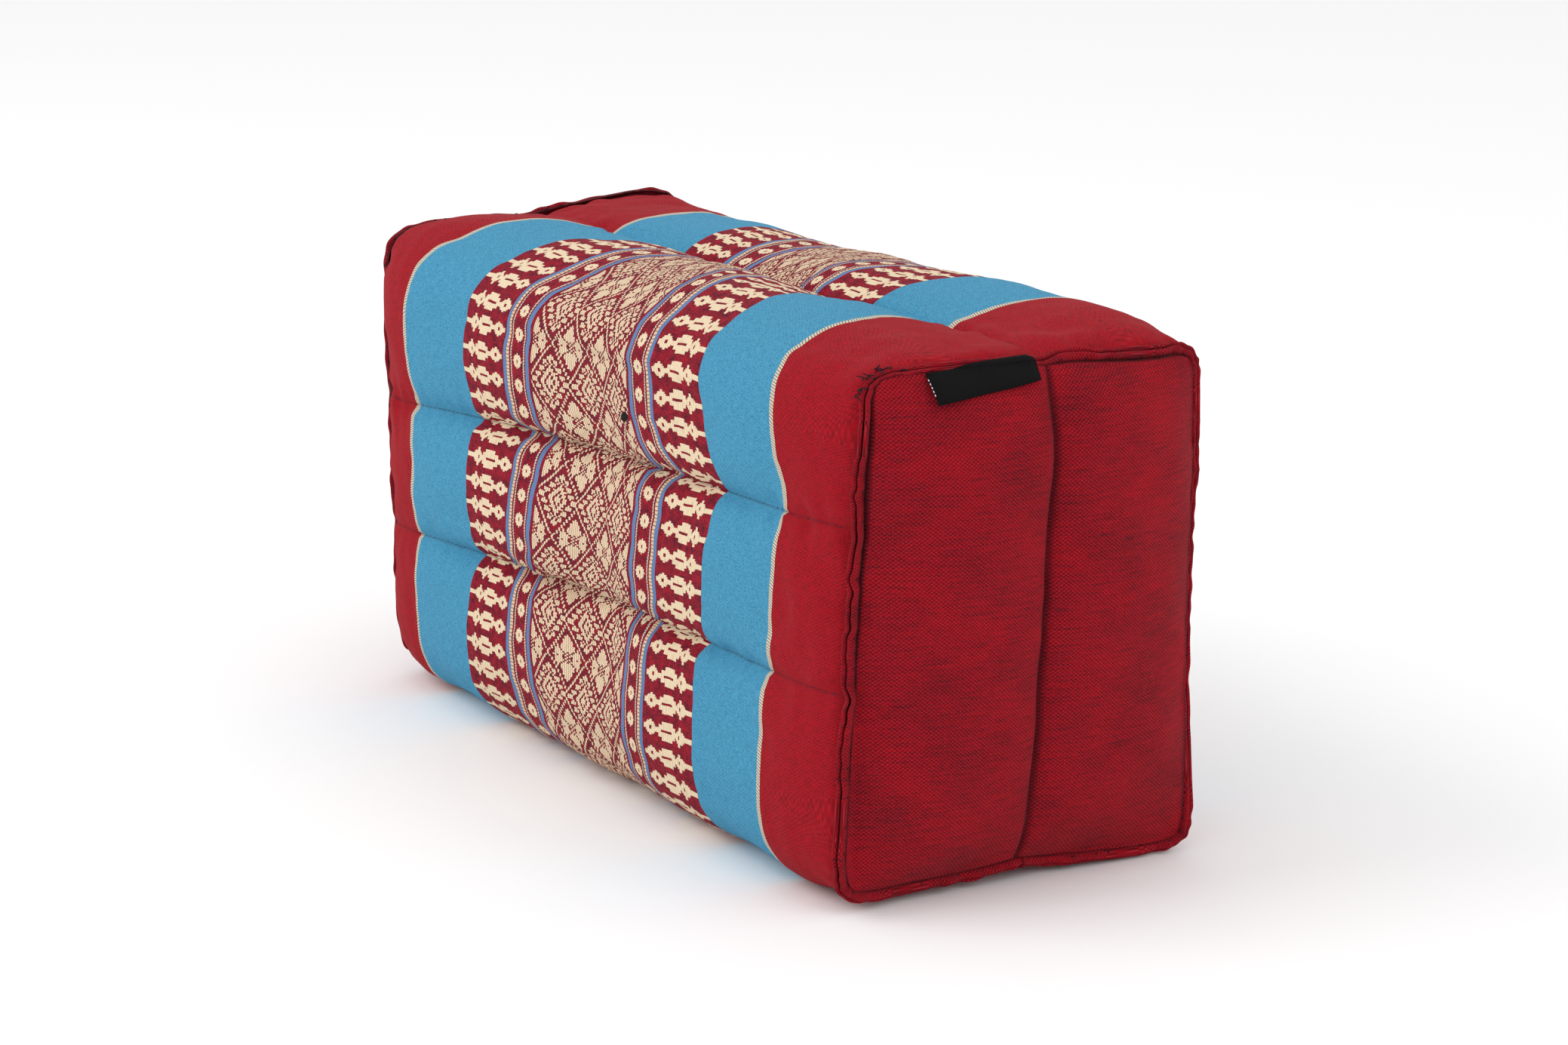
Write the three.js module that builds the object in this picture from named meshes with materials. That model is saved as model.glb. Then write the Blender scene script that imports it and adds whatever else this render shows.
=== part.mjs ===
// Meditation cushion: a filled block of patterned cloth with sewn channels, standing on its long narrow side.
// X runs along the length and the tagged end is at +X. Y runs across, with the side seen most at -Y. Z is up.
// Sizes are millimetres.
import * as THREE from 'three';
import { ParametricGeometry } from 'three/addons/geometries/ParametricGeometry.js';
import { mergeGeometries, mergeVertices } from 'three/addons/utils/BufferGeometryUtils.js';

// Driving sizes
const SEAM_X = 161;          // from the middle of the cushion to the seam round each end
const CLOTH_GAP = 0.4;       // along X, between one cut piece and the next
const PANEL_THICKNESS = 2.0; // end panel cloth with the turned-in layer behind it
const LIP_THICKNESS = 1.8;   // folded edge that stands up along the seam
const LIP_TIP = 1.5;         // its thickness at the tip
const LIP_HEIGHT = 5.0;      // on the front edge of the near end
const LIP_HEIGHT_BACK = 3.8; // on its back and bottom edges
const LIP_HEIGHT_TOP = 4.1;  // on its top edge
const LIP_HEIGHT_FAR = 2.4;  // all round the far end
const LIP_LEAN = 0.66;       // radians by which the folded edges lean out from the end
const LIP_LEAN_BACK = 0.96;  // on the back edge, and round the far end
const LIP_WAVE = 0.9;        // sideways wander of the folded edges
const LIP_WAVES = 17;        // waves round one end
const LIP_RIPPLE = 0.06;     // share of the height that comes and goes along the edge
const FLOOR_LEVEL = 2.6;     // the channels are flattened here, and the whole is set down by as much
const FLOOR_CLEARANCE = 0.4; // the lowest point of a folded edge above the floor
const LOBE_DEPTH = 35;       // rise of the round arc that shapes each stuffed channel
const LOBE_POWER = 2.8;      // how full that arc is
const LEAN_LEVEL = 85;       // height at which a leaning side crosses its upright place
const LEAN_SHARE_BACK = 0.3; // the back leans less than the front
const DRAWN_IN = { depth: 3, from: 8, to: 128, reach: 60, power: 0.6 }; // the back seam of the near end
const LOW_BACK = { drop: 2.2, height: 40 }; // and its foot
const CENTRE_BLEND = 40;     // distance from the middle plane over which lean and lift come in

// Each end panel: its middle valley and the two stuffed halves beside it
const END_CROWN = 14;         // bulge of a half panel beyond its seam
const END_VALLEY = 5.5;       // the sewn line lies this far in from the bulge
const END_VALLEY_WIDTH = 9;   // from the sewn line to where the bulge is full
const CROWN_POWER_ACROSS = 4; // how squarely the bulge fills the width
const CROWN_POWER_UP = 6;     // and the height
const SEAM_BOW_TOP = 6;       // the middle of the seam stands out at the top
const SEAM_BOW_BOTTOM = -3;   // and is drawn in at the bottom
const SEAM_BOW_REACH = 38;    // the bow fades out over this length of the wrap
const VALLEY_SWAY_TOP = 1.5;  // sideways place of the sewn line at the top
const VALLEY_SWAY_BOTTOM = -3;

// Steps of the mesh round one front half of the outline
const LOBE_STEPS = 4;
const CORNER_STEPS = 6;
const SIDE_STEPS = CORNER_STEPS + 4 * LOBE_STEPS;
const TOP_STEPS = CORNER_STEPS + 2 * LOBE_STEPS;
const HALF_STEPS = 2 * CORNER_STEPS + 6 * LOBE_STEPS;
const GIRTH_STEPS = 2 * HALF_STEPS;

// Cross-sections from the far end to the near end. half: half width. top, bottom: heights of the crests,
// where a bottom below the floor level is flattened. valley: depth of the side seams. crease: depth of the
// top and bottom seams. corner: squareness of the long edges. seamHigh, seamLow: heights of the two side
// seams. lean: how far the sides lean out at the foot. lift: extra height of the back channel.
const SECTION_NAMES = [
  'half', 'top', 'bottom', 'valley', 'crease', 'corner', 'seamHigh', 'seamLow', 'lean', 'lift',
];
const SECTIONS = [
  { x: -161, row: [61.0, 168.8, 8.4, 0.3, 0.6, 4.8, 109.5, 61.5, -1.5, 5.0] },
  { x: -157, row: [64.5, 171.0, 6.4, 0.7, 1.7, 3.9, 109.7, 61.8, -1.5, 3.9] },
  { x: -150, row: [67.6, 173.5, 4.2, 1.6, 3.5, 3.0, 110.0, 62.2, -1.4, 1.4] },
  { x: -138, row: [70.2, 175.8, 1.9, 3.2, 6.5, 2.5, 110.5, 62.9, -1.0, -2.1] },
  { x: -115, row: [72.3, 178.0, 0.6, 6.4, 9.5, 2.0, 112.0, 63.8, 0.0, -3.3] },
  { x: -80, row: [72.9, 178.8, 0.2, 9.6, 11.5, 1.9, 113.8, 65.0, 0.3, -2.5] },
  { x: -40, row: [73.0, 179.0, 0.2, 12.0, 13.0, 1.9, 115.5, 66.2, 0.8, -3.1] },
  { x: 0, row: [73.0, 179.0, 0.2, 12.7, 13.5, 1.9, 117.2, 67.3, 1.2, -2.8] },
  { x: 40, row: [73.0, 178.8, 0.2, 12.0, 13.0, 1.9, 118.8, 68.6, 1.8, -1.3] },
  { x: 80, row: [73.0, 178.6, 0.2, 9.6, 11.5, 1.9, 120.6, 69.8, 2.6, -0.1] },
  { x: 115, row: [72.5, 178.2, 0.6, 6.4, 9.0, 2.0, 122.2, 71.0, 3.4, 0.5] },
  { x: 138, row: [70.6, 177.2, 1.9, 3.3, 6.0, 2.5, 123.0, 71.5, 4.1, 0.2] },
  { x: 150, row: [67.9, 175.2, 4.2, 1.7, 3.6, 3.1, 123.2, 71.6, 4.5, -0.9] },
  { x: 157, row: [65.0, 172.8, 6.6, 0.8, 2.4, 5.0, 123.1, 71.5, 4.7, -2.4] },
  { x: 161, row: [62.0, 170.0, 8.9, 0.3, 1.5, 8.0, 122.9, 71.4, 4.8, -4.0] },
];
const SIDE_STATIONS = [
  158.2, 156.5, 153.5, 149.5, 144, 137, 128, 115, 100, 82, 62, 40, 20, 0,
  -20, -40, -62, -82, -100, -115, -128, -137, -144, -149.5, -153.5, -156.5, -158.2,
];

// The tag's place on the near end, and its strip
const TAG = {
  left: -41,
  right: -3.2,
  ridge: 171.0,
  thickness: 1.2,
  bend: 3,        // radius of its turn over the folded edges, at its right end
  slope: 0.9,     // its lean from the level below that, in radians
  turnShare: 0.3, // share of its strip in the turn
  dropLeft: 8.6,
  dropRight: 4.9,
  lipReach: 0.9,  // how far the folded edge behind it reaches beyond the panel's face
  clearance: 0.8, // off the panel
  standOff: 1.2,  // more of it at the left end
  steps: 8,
};
const PRESS = { from: -60, left: -54, right: 0, to: 8, shareLeft: 0.3, shareRight: 0.45 };

const smooth = (t) => THREE.MathUtils.smoothstep(t, 0, 1);
const clamp01 = (t) => THREE.MathUtils.clamp(t, 0, 1);

const sectionTable = new THREE.CubicInterpolant(
  SECTIONS.map((section) => section.x),
  SECTIONS.flatMap((section) => section.row),
  SECTION_NAMES.length,
);

function sectionAt(x) {
  const values = sectionTable.evaluate(THREE.MathUtils.clamp(x, -SEAM_X, SEAM_X));
  return Object.fromEntries(SECTION_NAMES.map((name, column) => [name, values[column]]));
}

// How far the cloth lies in from a channel's crest, at a distance from the crest, with the seam at reach
function lobe(distance, reach, seamDepth) {
  const seamShare = (1 - seamDepth / LOBE_DEPTH) ** LOBE_POWER;
  const span = reach / (1 - seamShare) ** (1 / LOBE_POWER);
  return LOBE_DEPTH - LOBE_DEPTH * (1 - (distance / span) ** LOBE_POWER) ** (1 / LOBE_POWER);
}

// One run of stuffed side between a crest and a seam, as [y, z]
function sideRun(section, crest, seam, share) {
  const z = THREE.MathUtils.lerp(crest, seam, share);
  const depth = lobe(Math.abs(z - crest), Math.abs(seam - crest), section.valley);
  return [depth - section.half, z];
}

// One rounded long edge, from the crest on the flat to the crest on the side
function cornerRun(section, flatLevel, sideLevel, turn) {
  const power = 2 / section.corner;
  const angle = turn * Math.PI / 2;
  const inner = section.half / 2;
  return [
    -inner - (section.half - inner) * Math.sin(angle) ** power,
    sideLevel + (flatLevel - sideLevel) * Math.cos(angle) ** power,
  ];
}

// The front half of the outline, from the middle of the bottom up to the middle of the top
function frontOutline(step, section) {
  const inner = section.half / 2;
  const low = (section.seamLow + section.bottom) / 2;
  const middle = (section.seamHigh + section.seamLow) / 2;
  const high = (section.seamHigh + section.top) / 2;
  const creaseRun = (share) => lobe(inner * share, inner, section.crease);
  const runs = [
    [LOBE_STEPS, (t) => [-inner * t, section.bottom + creaseRun(1 - t)]],
    [CORNER_STEPS, (t) => cornerRun(section, section.bottom, low, t)],
    [LOBE_STEPS, (t) => sideRun(section, low, section.seamLow, t)],
    [LOBE_STEPS, (t) => sideRun(section, middle, section.seamLow, 1 - t)],
    [LOBE_STEPS, (t) => sideRun(section, middle, section.seamHigh, t)],
    [LOBE_STEPS, (t) => sideRun(section, high, section.seamHigh, 1 - t)],
    [CORNER_STEPS, (t) => cornerRun(section, section.top, high, 1 - t)],
    [LOBE_STEPS, (t) => [-inner * (1 - t), section.top - creaseRun(t)]],
  ];
  let left = step;
  for (const [steps, place] of runs) {
    if (left <= steps) {
      return place(left / steps);
    }
    left -= steps;
  }
  return runs.at(-1)[1](1);
}

// How far x is into the stretch beside the tagged end, as a share
function nearEndShare(x) {
  return smooth(1 - (SEAM_X - x) / DRAWN_IN.reach);
}

// How far the back lies in near the tagged end
function drawnIn(x, z) {
  const upward = clamp01((z - DRAWN_IN.from) / (DRAWN_IN.to - DRAWN_IN.from));
  const share = Math.sin(upward * Math.PI) ** DRAWN_IN.power;
  return DRAWN_IN.depth * share * nearEndShare(x);
}

// A point of the whole outline at x: steps run from the middle of the bottom up the front and down the back
function outline(step, x) {
  const section = sectionAt(x);
  const turn = THREE.MathUtils.euclideanModulo(step, GIRTH_STEPS);
  const isBack = turn > HALF_STEPS;
  let [y, z] = frontOutline(isBack ? GIRTH_STEPS - turn : turn, section);
  const outward = clamp01(-y / CENTRE_BLEND);
  y -= section.lean * (isBack ? LEAN_SHARE_BACK : 1) * (1 - z / LEAN_LEVEL) * outward;
  if (isBack) {
    y = -y - drawnIn(x, z) * outward;
    z -= LOW_BACK.drop * nearEndShare(x) * outward * smooth(1 - z / LOW_BACK.height);
    z += section.lift * outward * clamp01((z - section.seamHigh) / (section.top - section.seamHigh));
  }
  return new THREE.Vector2(y, Math.max(z, FLOOR_LEVEL));
}

// The unit direction that points out of the outline
function outwardDirection(step, x) {
  const before = outline(step - 0.5, x);
  const after = outline(step + 0.5, x);
  return new THREE.Vector2(before.y - after.y, after.x - before.x).normalize();
}

// How far the seam round an end stands out of its plane
function seamBow(y, z) {
  const across = 1 - (y / sectionAt(SEAM_X).half) ** 2;
  return clamp01(across) * THREE.MathUtils.lerp(SEAM_BOW_BOTTOM, SEAM_BOW_TOP, clamp01(z / (2 * LEAN_LEVEL)));
}

// A point of the wrap, whose last stretch follows the bow of the seam
function wrapPoint(step, x, target) {
  const place = outline(step, x);
  const end = Math.sign(x) || 1;
  const fade = smooth(1 - (SEAM_X - Math.abs(x)) / SEAM_BOW_REACH);
  return target.set(x + end * fade * seamBow(place.x, place.y), place.x, place.y);
}

// Share of a folded edge's height that is left where the tag is sewn in, which presses it down
function pressedShare(y, z, end) {
  if (end < 0 || z < LEAN_LEVEL) {
    return 1;
  }
  const inside = smooth((y - PRESS.from) / (PRESS.left - PRESS.from)) * smooth((PRESS.to - y) / PRESS.to);
  const along = clamp01((y - PRESS.left) / (PRESS.right - PRESS.left));
  return THREE.MathUtils.lerp(1, THREE.MathUtils.lerp(PRESS.shareLeft, PRESS.shareRight, along), inside);
}

// A point of a folded edge: rise from 0 at the stitches to 1 at the tip, and offset across it from the groove
function lipPoint(step, end, rise, offset, target) {
  const place = outline(step, end * SEAM_X);
  const direction = outwardDirection(step, end * SEAM_X);
  const turn = (step / GIRTH_STEPS) * 2 * Math.PI;
  const ripple = Math.sin(turn * LIP_WAVES) + 0.6 * Math.sin(turn * (LIP_WAVES - 6) + 1);
  const backOrLow = clamp01(Math.max(direction.x, -direction.y));
  const fullSide = THREE.MathUtils.lerp(LIP_HEIGHT, LIP_HEIGHT_BACK, backOrLow);
  const fullNear = THREE.MathUtils.lerp(fullSide, LIP_HEIGHT_TOP, clamp01(direction.y));
  const full = end > 0 ? fullNear : LIP_HEIGHT_FAR;
  const pressed = rise * pressedShare(place.x, place.y, end);
  const height = pressed * full * (1 + LIP_RIPPLE * ripple);
  const leanNear = THREE.MathUtils.lerp(LIP_LEAN, LIP_LEAN_BACK, clamp01(direction.x));
  const lean = clamp01(rise * 2) * (end > 0 ? leanNear : LIP_LEAN_BACK);
  const across = offset + pressed * LIP_WAVE * ripple / 2;
  const tip = place.clone().addScaledVector(direction, height * Math.cos(lean) - across * Math.sin(lean));
  const x = SEAM_X + seamBow(place.x, place.y) + height * Math.sin(lean) + across * Math.cos(lean);
  return target.set(end * x, tip.x, Math.max(tip.y, FLOOR_LEVEL + FLOOR_CLEARANCE));
}

// The flat place on an end inside the seam, blended from the four runs of the outline. across runs from the
// front to the back, up from the bottom to the top
function endPlace(across, up, end) {
  const x = end * SEAM_X;
  const side = outline(TOP_STEPS / 2 + up * SIDE_STEPS, x);
  const back = outline(GIRTH_STEPS - TOP_STEPS / 2 - up * SIDE_STEPS, x);
  const bottom = outline(TOP_STEPS / 2 - across * TOP_STEPS, x);
  const top = outline(TOP_STEPS / 2 + SIDE_STEPS + across * TOP_STEPS, x);
  const frontLow = outline(TOP_STEPS / 2, x);
  const frontHigh = outline(TOP_STEPS / 2 + SIDE_STEPS, x);
  const backHigh = outline(HALF_STEPS + TOP_STEPS / 2, x);
  const backLow = outline(GIRTH_STEPS - TOP_STEPS / 2, x);
  const mixed = side.multiplyScalar(1 - across).addScaledVector(back, across);
  mixed.addScaledVector(bottom, 1 - up).addScaledVector(top, up);
  mixed.addScaledVector(frontLow, -(1 - across) * (1 - up)).addScaledVector(frontHigh, -(1 - across) * up);
  return mixed.addScaledVector(backHigh, -across * up).addScaledVector(backLow, -across * (1 - up));
}

// How far an end bulges beyond its seam at a place inside it
function endCrown(y, z) {
  const section = sectionAt(SEAM_X);
  const across = clamp01(Math.abs(y) / section.half);
  const up = clamp01(Math.abs(2 * (z - section.bottom) / (section.top - section.bottom) - 1));
  const rise = (1 - across ** CROWN_POWER_ACROSS) * (1 - up ** CROWN_POWER_UP);
  return rise * (END_CROWN - END_VALLEY * (1 - smooth(Math.abs(y) / END_VALLEY_WIDTH)));
}

// A point of an end surface, offset along X from the seam
function endPoint(across, up, end, offset, target) {
  const place = endPlace(across, up, end);
  const inside = clamp01(Math.min(across, 1 - across, up, 1 - up) * GIRTH_STEPS);
  const crown = inside * endCrown(place.x, place.y);
  const middle = inside * (1 - Math.abs(2 * across - 1));
  const sway = middle * THREE.MathUtils.lerp(VALLEY_SWAY_BOTTOM, VALLEY_SWAY_TOP, up);
  const x = SEAM_X + offset + seamBow(place.x, place.y) + crown;
  return target.set(end * x, place.x + sway, place.y);
}

// A patch with its faces turned to the other side. Both sides of a gap then share their folds
function turnedOver(geometry) {
  const corners = geometry.index;
  for (let face = 0; face < corners.count; face += 3) {
    const second = corners.getX(face + 1);
    corners.setX(face + 1, corners.getX(face + 2));
    corners.setX(face + 2, second);
  }
  return geometry;
}

function ringPatch(rings, end) {
  const place = (u, v, target) => rings[Math.round(v * (rings.length - 1))](u * GIRTH_STEPS, target);
  const patch = new ParametricGeometry(place, GIRTH_STEPS, rings.length - 1);
  return end > 0 ? patch : turnedOver(patch);
}

function endPatch(end, offset, facesOut) {
  const place = (u, v, target) => endPoint(u, v, end, offset, target);
  const patch = new ParametricGeometry(place, TOP_STEPS, SIDE_STEPS);
  return (end > 0) === facesOut ? patch : turnedOver(patch);
}

function closedMesh(name, patches, material) {
  const joined = mergeGeometries(patches);
  joined.deleteAttribute('normal');
  joined.deleteAttribute('uv');
  const geometry = mergeVertices(joined, 1e-3);
  geometry.computeVertexNormals();
  const mesh = new THREE.Mesh(geometry, material);
  mesh.name = name;
  return mesh;
}

// The folded edge of the wrap at one end, from the groove out to the tip and back down to the wrap
function wrapLipRings(end) {
  const groove = -CLOTH_GAP / 2;
  const rings = [
    { rise: 0, offset: groove },
    { rise: 1, offset: groove },
    { rise: 0.92, offset: groove - LIP_TIP },
    { rise: 0, offset: groove - LIP_THICKNESS },
  ];
  return rings.map(({ rise, offset }) => (step, target) => lipPoint(step, end, rise, offset, target));
}

function makeBody(material) {
  const groove = -CLOTH_GAP / 2;
  const wrapRings = SIDE_STATIONS.map((x) => (step, target) => wrapPoint(step, x, target));
  const rings = [...wrapLipRings(1), ...wrapRings, ...wrapLipRings(-1).reverse()];
  const patches = [ringPatch(rings, 1), endPatch(1, groove, true), endPatch(-1, groove, true)];
  return closedMesh('cushion_body', patches, material);
}

function makePanel(name, end, material) {
  const inside = CLOTH_GAP / 2;
  const outside = inside + PANEL_THICKNESS;
  const ringPlaces = [
    { rise: 0, offset: outside },
    { rise: 0.92, offset: inside + LIP_TIP },
    { rise: 1, offset: inside },
    { rise: 0, offset: inside },
  ];
  const ringAt = ({ rise, offset }) => (step, target) => lipPoint(step, end, rise, offset, target);
  const rings = ringPlaces.map(ringAt);
  const lip = ringPatch(end > 0 ? rings.reverse() : rings, -1);
  return closedMesh(name, [lip, endPatch(end, outside, true), endPatch(end, inside, false)], material);
}

// A point of the tag's strip, which turns over the folded edge at its right end and lies down the panel's
// slope. along runs from its left end to its right, down along the strip, and lift is its height off its back
function tagPoint(along, down, lift, target) {
  const y = THREE.MathUtils.lerp(TAG.left, TAG.right, along);
  const lipFace = SEAM_X + seamBow(y, TAG.ridge) + CLOTH_GAP / 2 + PANEL_THICKNESS + TAG.lipReach;
  const turned = THREE.MathUtils.lerp(1, clamp01(down / TAG.turnShare), along);
  const hang = THREE.MathUtils.lerp(down, clamp01((down - TAG.turnShare) / (1 - TAG.turnShare)), along);
  const angle = turned * TAG.slope;
  const drop = hang * THREE.MathUtils.lerp(TAG.dropLeft, TAG.dropRight, along);
  const z = TAG.ridge - TAG.bend * (1 - Math.cos(angle)) - drop;
  const start = lipFace + CLOTH_GAP + TAG.bend * (Math.sin(angle) - Math.sin(TAG.slope));
  const panelFace = SEAM_X + seamBow(y, z) + endCrown(y, z) + CLOTH_GAP / 2 + PANEL_THICKNESS;
  const rest = panelFace + TAG.clearance + TAG.standOff * hang * (1 - along);
  const x = hang > 0 ? Math.max(start, rest) : start;
  return target.set(x + lift * Math.sin(angle), y, z + lift * Math.cos(angle));
}

function makeTag(material) {
  const { steps, thickness } = TAG;
  const front = (u, v, target) => tagPoint(u, 1 - v, thickness, target);
  const behind = (u, v, target) => tagPoint(1 - u, 1 - v, 0, target);
  const leftRim = (u, v, target) => tagPoint(0, 1 - v, thickness * u, target);
  const rightRim = (u, v, target) => tagPoint(1, 1 - v, thickness * (1 - u), target);
  const lowRim = (u, v, target) => tagPoint(u, 1, thickness * v, target);
  const topRim = (u, v, target) => tagPoint(u, 0, thickness * (1 - v), target);
  const patches = [
    new ParametricGeometry(front, steps, steps),
    new ParametricGeometry(behind, steps, steps),
    new ParametricGeometry(leftRim, 1, steps),
    new ParametricGeometry(rightRim, 1, steps),
    new ParametricGeometry(lowRim, steps, 1),
    new ParametricGeometry(topRim, steps, 1),
  ];
  return closedMesh('label_tag', patches, material);
}

const patternedCloth = new THREE.MeshStandardMaterial({ color: 0x9c2436, roughness: 0.9, metalness: 0 });
const redCloth = new THREE.MeshStandardMaterial({ color: 0xa3172b, roughness: 0.9, metalness: 0 });
const blackTape = new THREE.MeshStandardMaterial({ color: 0x1b1b1d, roughness: 0.8, metalness: 0 });

const cushion = new THREE.Group();
cushion.add(
  makeBody(patternedCloth),
  makePanel('end_panel_near', 1, redCloth),
  makePanel('end_panel_far', -1, redCloth),
  makeTag(blackTape),
);

// The origin is the middle of the foot of the whole cushion
const extent = new THREE.Box3().setFromObject(cushion);
const middle = extent.getCenter(new THREE.Vector3());
cushion.position.set(-middle.x, -middle.y, -extent.min.z);

export default cushion;
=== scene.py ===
"""Looks of the meditation cushion: patterned wrap, red end panels, folded edges, stitches and bare tag."""
import math

import bpy
import numpy as np
from mathutils import Matrix, Vector


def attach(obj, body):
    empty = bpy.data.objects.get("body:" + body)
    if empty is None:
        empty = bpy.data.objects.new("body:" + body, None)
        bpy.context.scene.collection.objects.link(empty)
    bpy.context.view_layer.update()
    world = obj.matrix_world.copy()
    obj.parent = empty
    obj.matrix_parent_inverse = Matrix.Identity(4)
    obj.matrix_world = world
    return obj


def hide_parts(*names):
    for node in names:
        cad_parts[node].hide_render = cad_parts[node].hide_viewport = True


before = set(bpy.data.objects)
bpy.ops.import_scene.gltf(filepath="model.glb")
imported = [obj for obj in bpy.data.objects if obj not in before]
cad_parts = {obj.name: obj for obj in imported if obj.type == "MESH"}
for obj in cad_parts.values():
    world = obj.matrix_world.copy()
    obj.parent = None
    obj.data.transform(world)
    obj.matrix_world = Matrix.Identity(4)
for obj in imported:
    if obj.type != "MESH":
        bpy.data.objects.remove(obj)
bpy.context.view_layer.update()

MM = 0.001
SHIFT = np.array([0.0460, 0.6120, -2.6])
FLOOR_LEVEL = 2.6
RNG = np.random.default_rng(11)

# The cushion's own sizes in millimetres, the same as in the frame
SEAM_X = 161.0
LOBE_DEPTH = 35.0
LOBE_POWER = 2.8
BACK_LEAN = 0.3
BOW_HALF_WIDTH, BOW_LOW, BOW_RISE, BOW_HEIGHT, BOW_REACH = 62.0, -3, 9, 170, 38
# The back near the tag's end: how deep it is drawn in, from what height, over how much height and length
DRAWN_DEPTH, DRAWN_FROM, DRAWN_HEIGHT, DRAWN_REACH, DRAWN_POWER = 3, 8, 120, 60, 0.6
LOW_BACK_DROP, LOW_BACK_HEIGHT = 2.2, 40
# How the filling and the sewing lift the wrap off its even form
GATHER, END_PUCKER, SWELL, RIPPLE = 0.75, 0.7, 0.55, 0.12
HOLLOW_DEPTH, HOLLOW_X, HOLLOW_WIDTH = 3.2, 8, 21.0
# The simulation of the wrap's cloth
SIM_SCALE, SIM_PRESSURE, SIM_FRAMES, MOVE_CAP = 10.0, 0.3, 20, 1.0
# The crown of an end panel, with the valley down its middle
CROWN, VALLEY, CREASE, CROWN_FOOT, CROWN_TOP = 14, 3.4, 2.6, 8.9, 170.0
PANEL_OFFSET = 2.15
# Folded edges: heights at the sides, top and far end, and how far they lean outwards in radians
EDGE_SIDE, EDGE_BACK_LESS, EDGE_TOP, EDGE_FAR = 5.0, 1.2, 4.1, 2.4
EDGE_TILT, EDGE_TILT_BACK, EDGE_TILT_FAR = 0.66, 0.6, 1.2
# The tag: its left end and width, the seam it hangs from, its bend and how far it hangs at either end
TAG_LEFT, TAG_WIDTH, TAG_RIDGE, TAG_BEND, TAG_TURN, TAG_SLOPE = -41, 37.8, 171.0, 3, 0.3, 0.9
TAG_DROP, TAG_DROP_LESS, TAG_THICKNESS = 8.6, 3.7, 1.2
NAMES = "half top bottom valley crease corner seam_high seam_low lean lift".split()
SECTIONS = np.array([
    [-161, 61.0, 168.8, 8.4, 0.3, 0.6, 4.8, 109.5, 61.5, -1.5, 5.0],
    [-157, 64.5, 171.0, 6.4, 0.7, 1.7, 3.9, 109.7, 61.8, -1.5, 3.9],
    [-150, 67.6, 173.5, 4.2, 1.6, 3.5, 3.0, 110.0, 62.2, -1.4, 1.4],
    [-138, 70.2, 175.8, 1.9, 3.2, 6.5, 2.5, 110.5, 62.9, -1.0, -2.1],
    [-115, 72.3, 178.0, 0.6, 6.4, 9.5, 2.0, 112.0, 63.8, 0.0, -3.3],
    [-80, 72.9, 178.8, 0.2, 9.6, 11.5, 1.9, 113.8, 65.0, 0.3, -2.5],
    [-40, 73.0, 179.0, 0.2, 12.0, 13.0, 1.9, 115.5, 66.2, 0.8, -3.1],
    [0, 73.0, 179.0, 0.2, 12.7, 13.5, 1.9, 117.2, 67.3, 1.2, -2.8],
    [40, 73.0, 178.8, 0.2, 12.0, 13.0, 1.9, 118.8, 68.6, 1.8, -1.3],
    [80, 73.0, 178.6, 0.2, 9.6, 11.5, 1.9, 120.6, 69.8, 2.6, -0.1],
    [115, 72.5, 178.2, 0.6, 6.4, 9.0, 2.0, 122.2, 71.0, 3.4, 0.5],
    [138, 70.6, 177.2, 1.9, 3.3, 6.0, 2.5, 123.0, 71.5, 4.1, 0.2],
    [150, 67.9, 175.2, 4.2, 1.7, 3.6, 3.1, 123.2, 71.6, 4.5, -0.9],
    [157, 65.0, 172.8, 6.6, 0.8, 2.4, 5.0, 123.1, 71.5, 4.7, -2.4],
    [161, 62.0, 170.0, 8.9, 0.3, 1.5, 8.0, 122.9, 71.4, 4.8, -4.0],
])


def smooth(t):
    """Eased step from 0 to 1."""
    t = np.clip(t, 0, 1)
    return t * t * (3 - 2 * t)


def section(x):
    """The section's values at each x, as a dict of arrays."""
    x = np.clip(np.asarray(x, float), -SEAM_X, SEAM_X)
    xs, rows = SECTIONS[:, 0], SECTIONS[:, 1:]
    slopes = np.empty_like(rows)
    slopes[1:-1] = (rows[2:] - rows[:-2]) / (xs[2:] - xs[:-2])[:, None]
    slopes[0] = (rows[1] - rows[0]) / (xs[1] - xs[0])
    slopes[-1] = (rows[-1] - rows[-2]) / (xs[-1] - xs[-2])
    i = np.clip(np.searchsorted(xs, x, side="right") - 1, 0, len(xs) - 2)
    width = xs[i + 1] - xs[i]
    t = ((x - xs[i]) / width)[..., None]
    w = width[..., None]
    values = (
        (2 * t**3 - 3 * t**2 + 1) * rows[i]
        + (t**3 - 2 * t**2 + t) * w * slopes[i]
        + (3 * t**2 - 2 * t**3) * rows[i + 1]
        + (t**3 - t**2) * w * slopes[i + 1]
    )
    return {name: values[..., k] for k, name in enumerate(NAMES)}


def lobe(distance, reach, seam_depth):
    """Depth below a channel's crest at a distance from it, where its seam lies at reach."""
    share = (1 - seam_depth / LOBE_DEPTH) ** LOBE_POWER
    span = reach / (1 - share) ** (1 / LOBE_POWER)
    inner = np.clip(1 - (np.abs(distance) / span) ** LOBE_POWER, 0, 1)
    return LOBE_DEPTH - LOBE_DEPTH * inner ** (1 / LOBE_POWER)


RUNS = [4, 6, 4, 4, 4, 4, 6, 4]
HALF = sum(RUNS)
GIRTH = 2 * HALF
# The sewn lines up the front, over the top and down the back; one more is at step 0
SEAM_STEPS = (14, 22, HALF, 50, 58)


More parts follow.
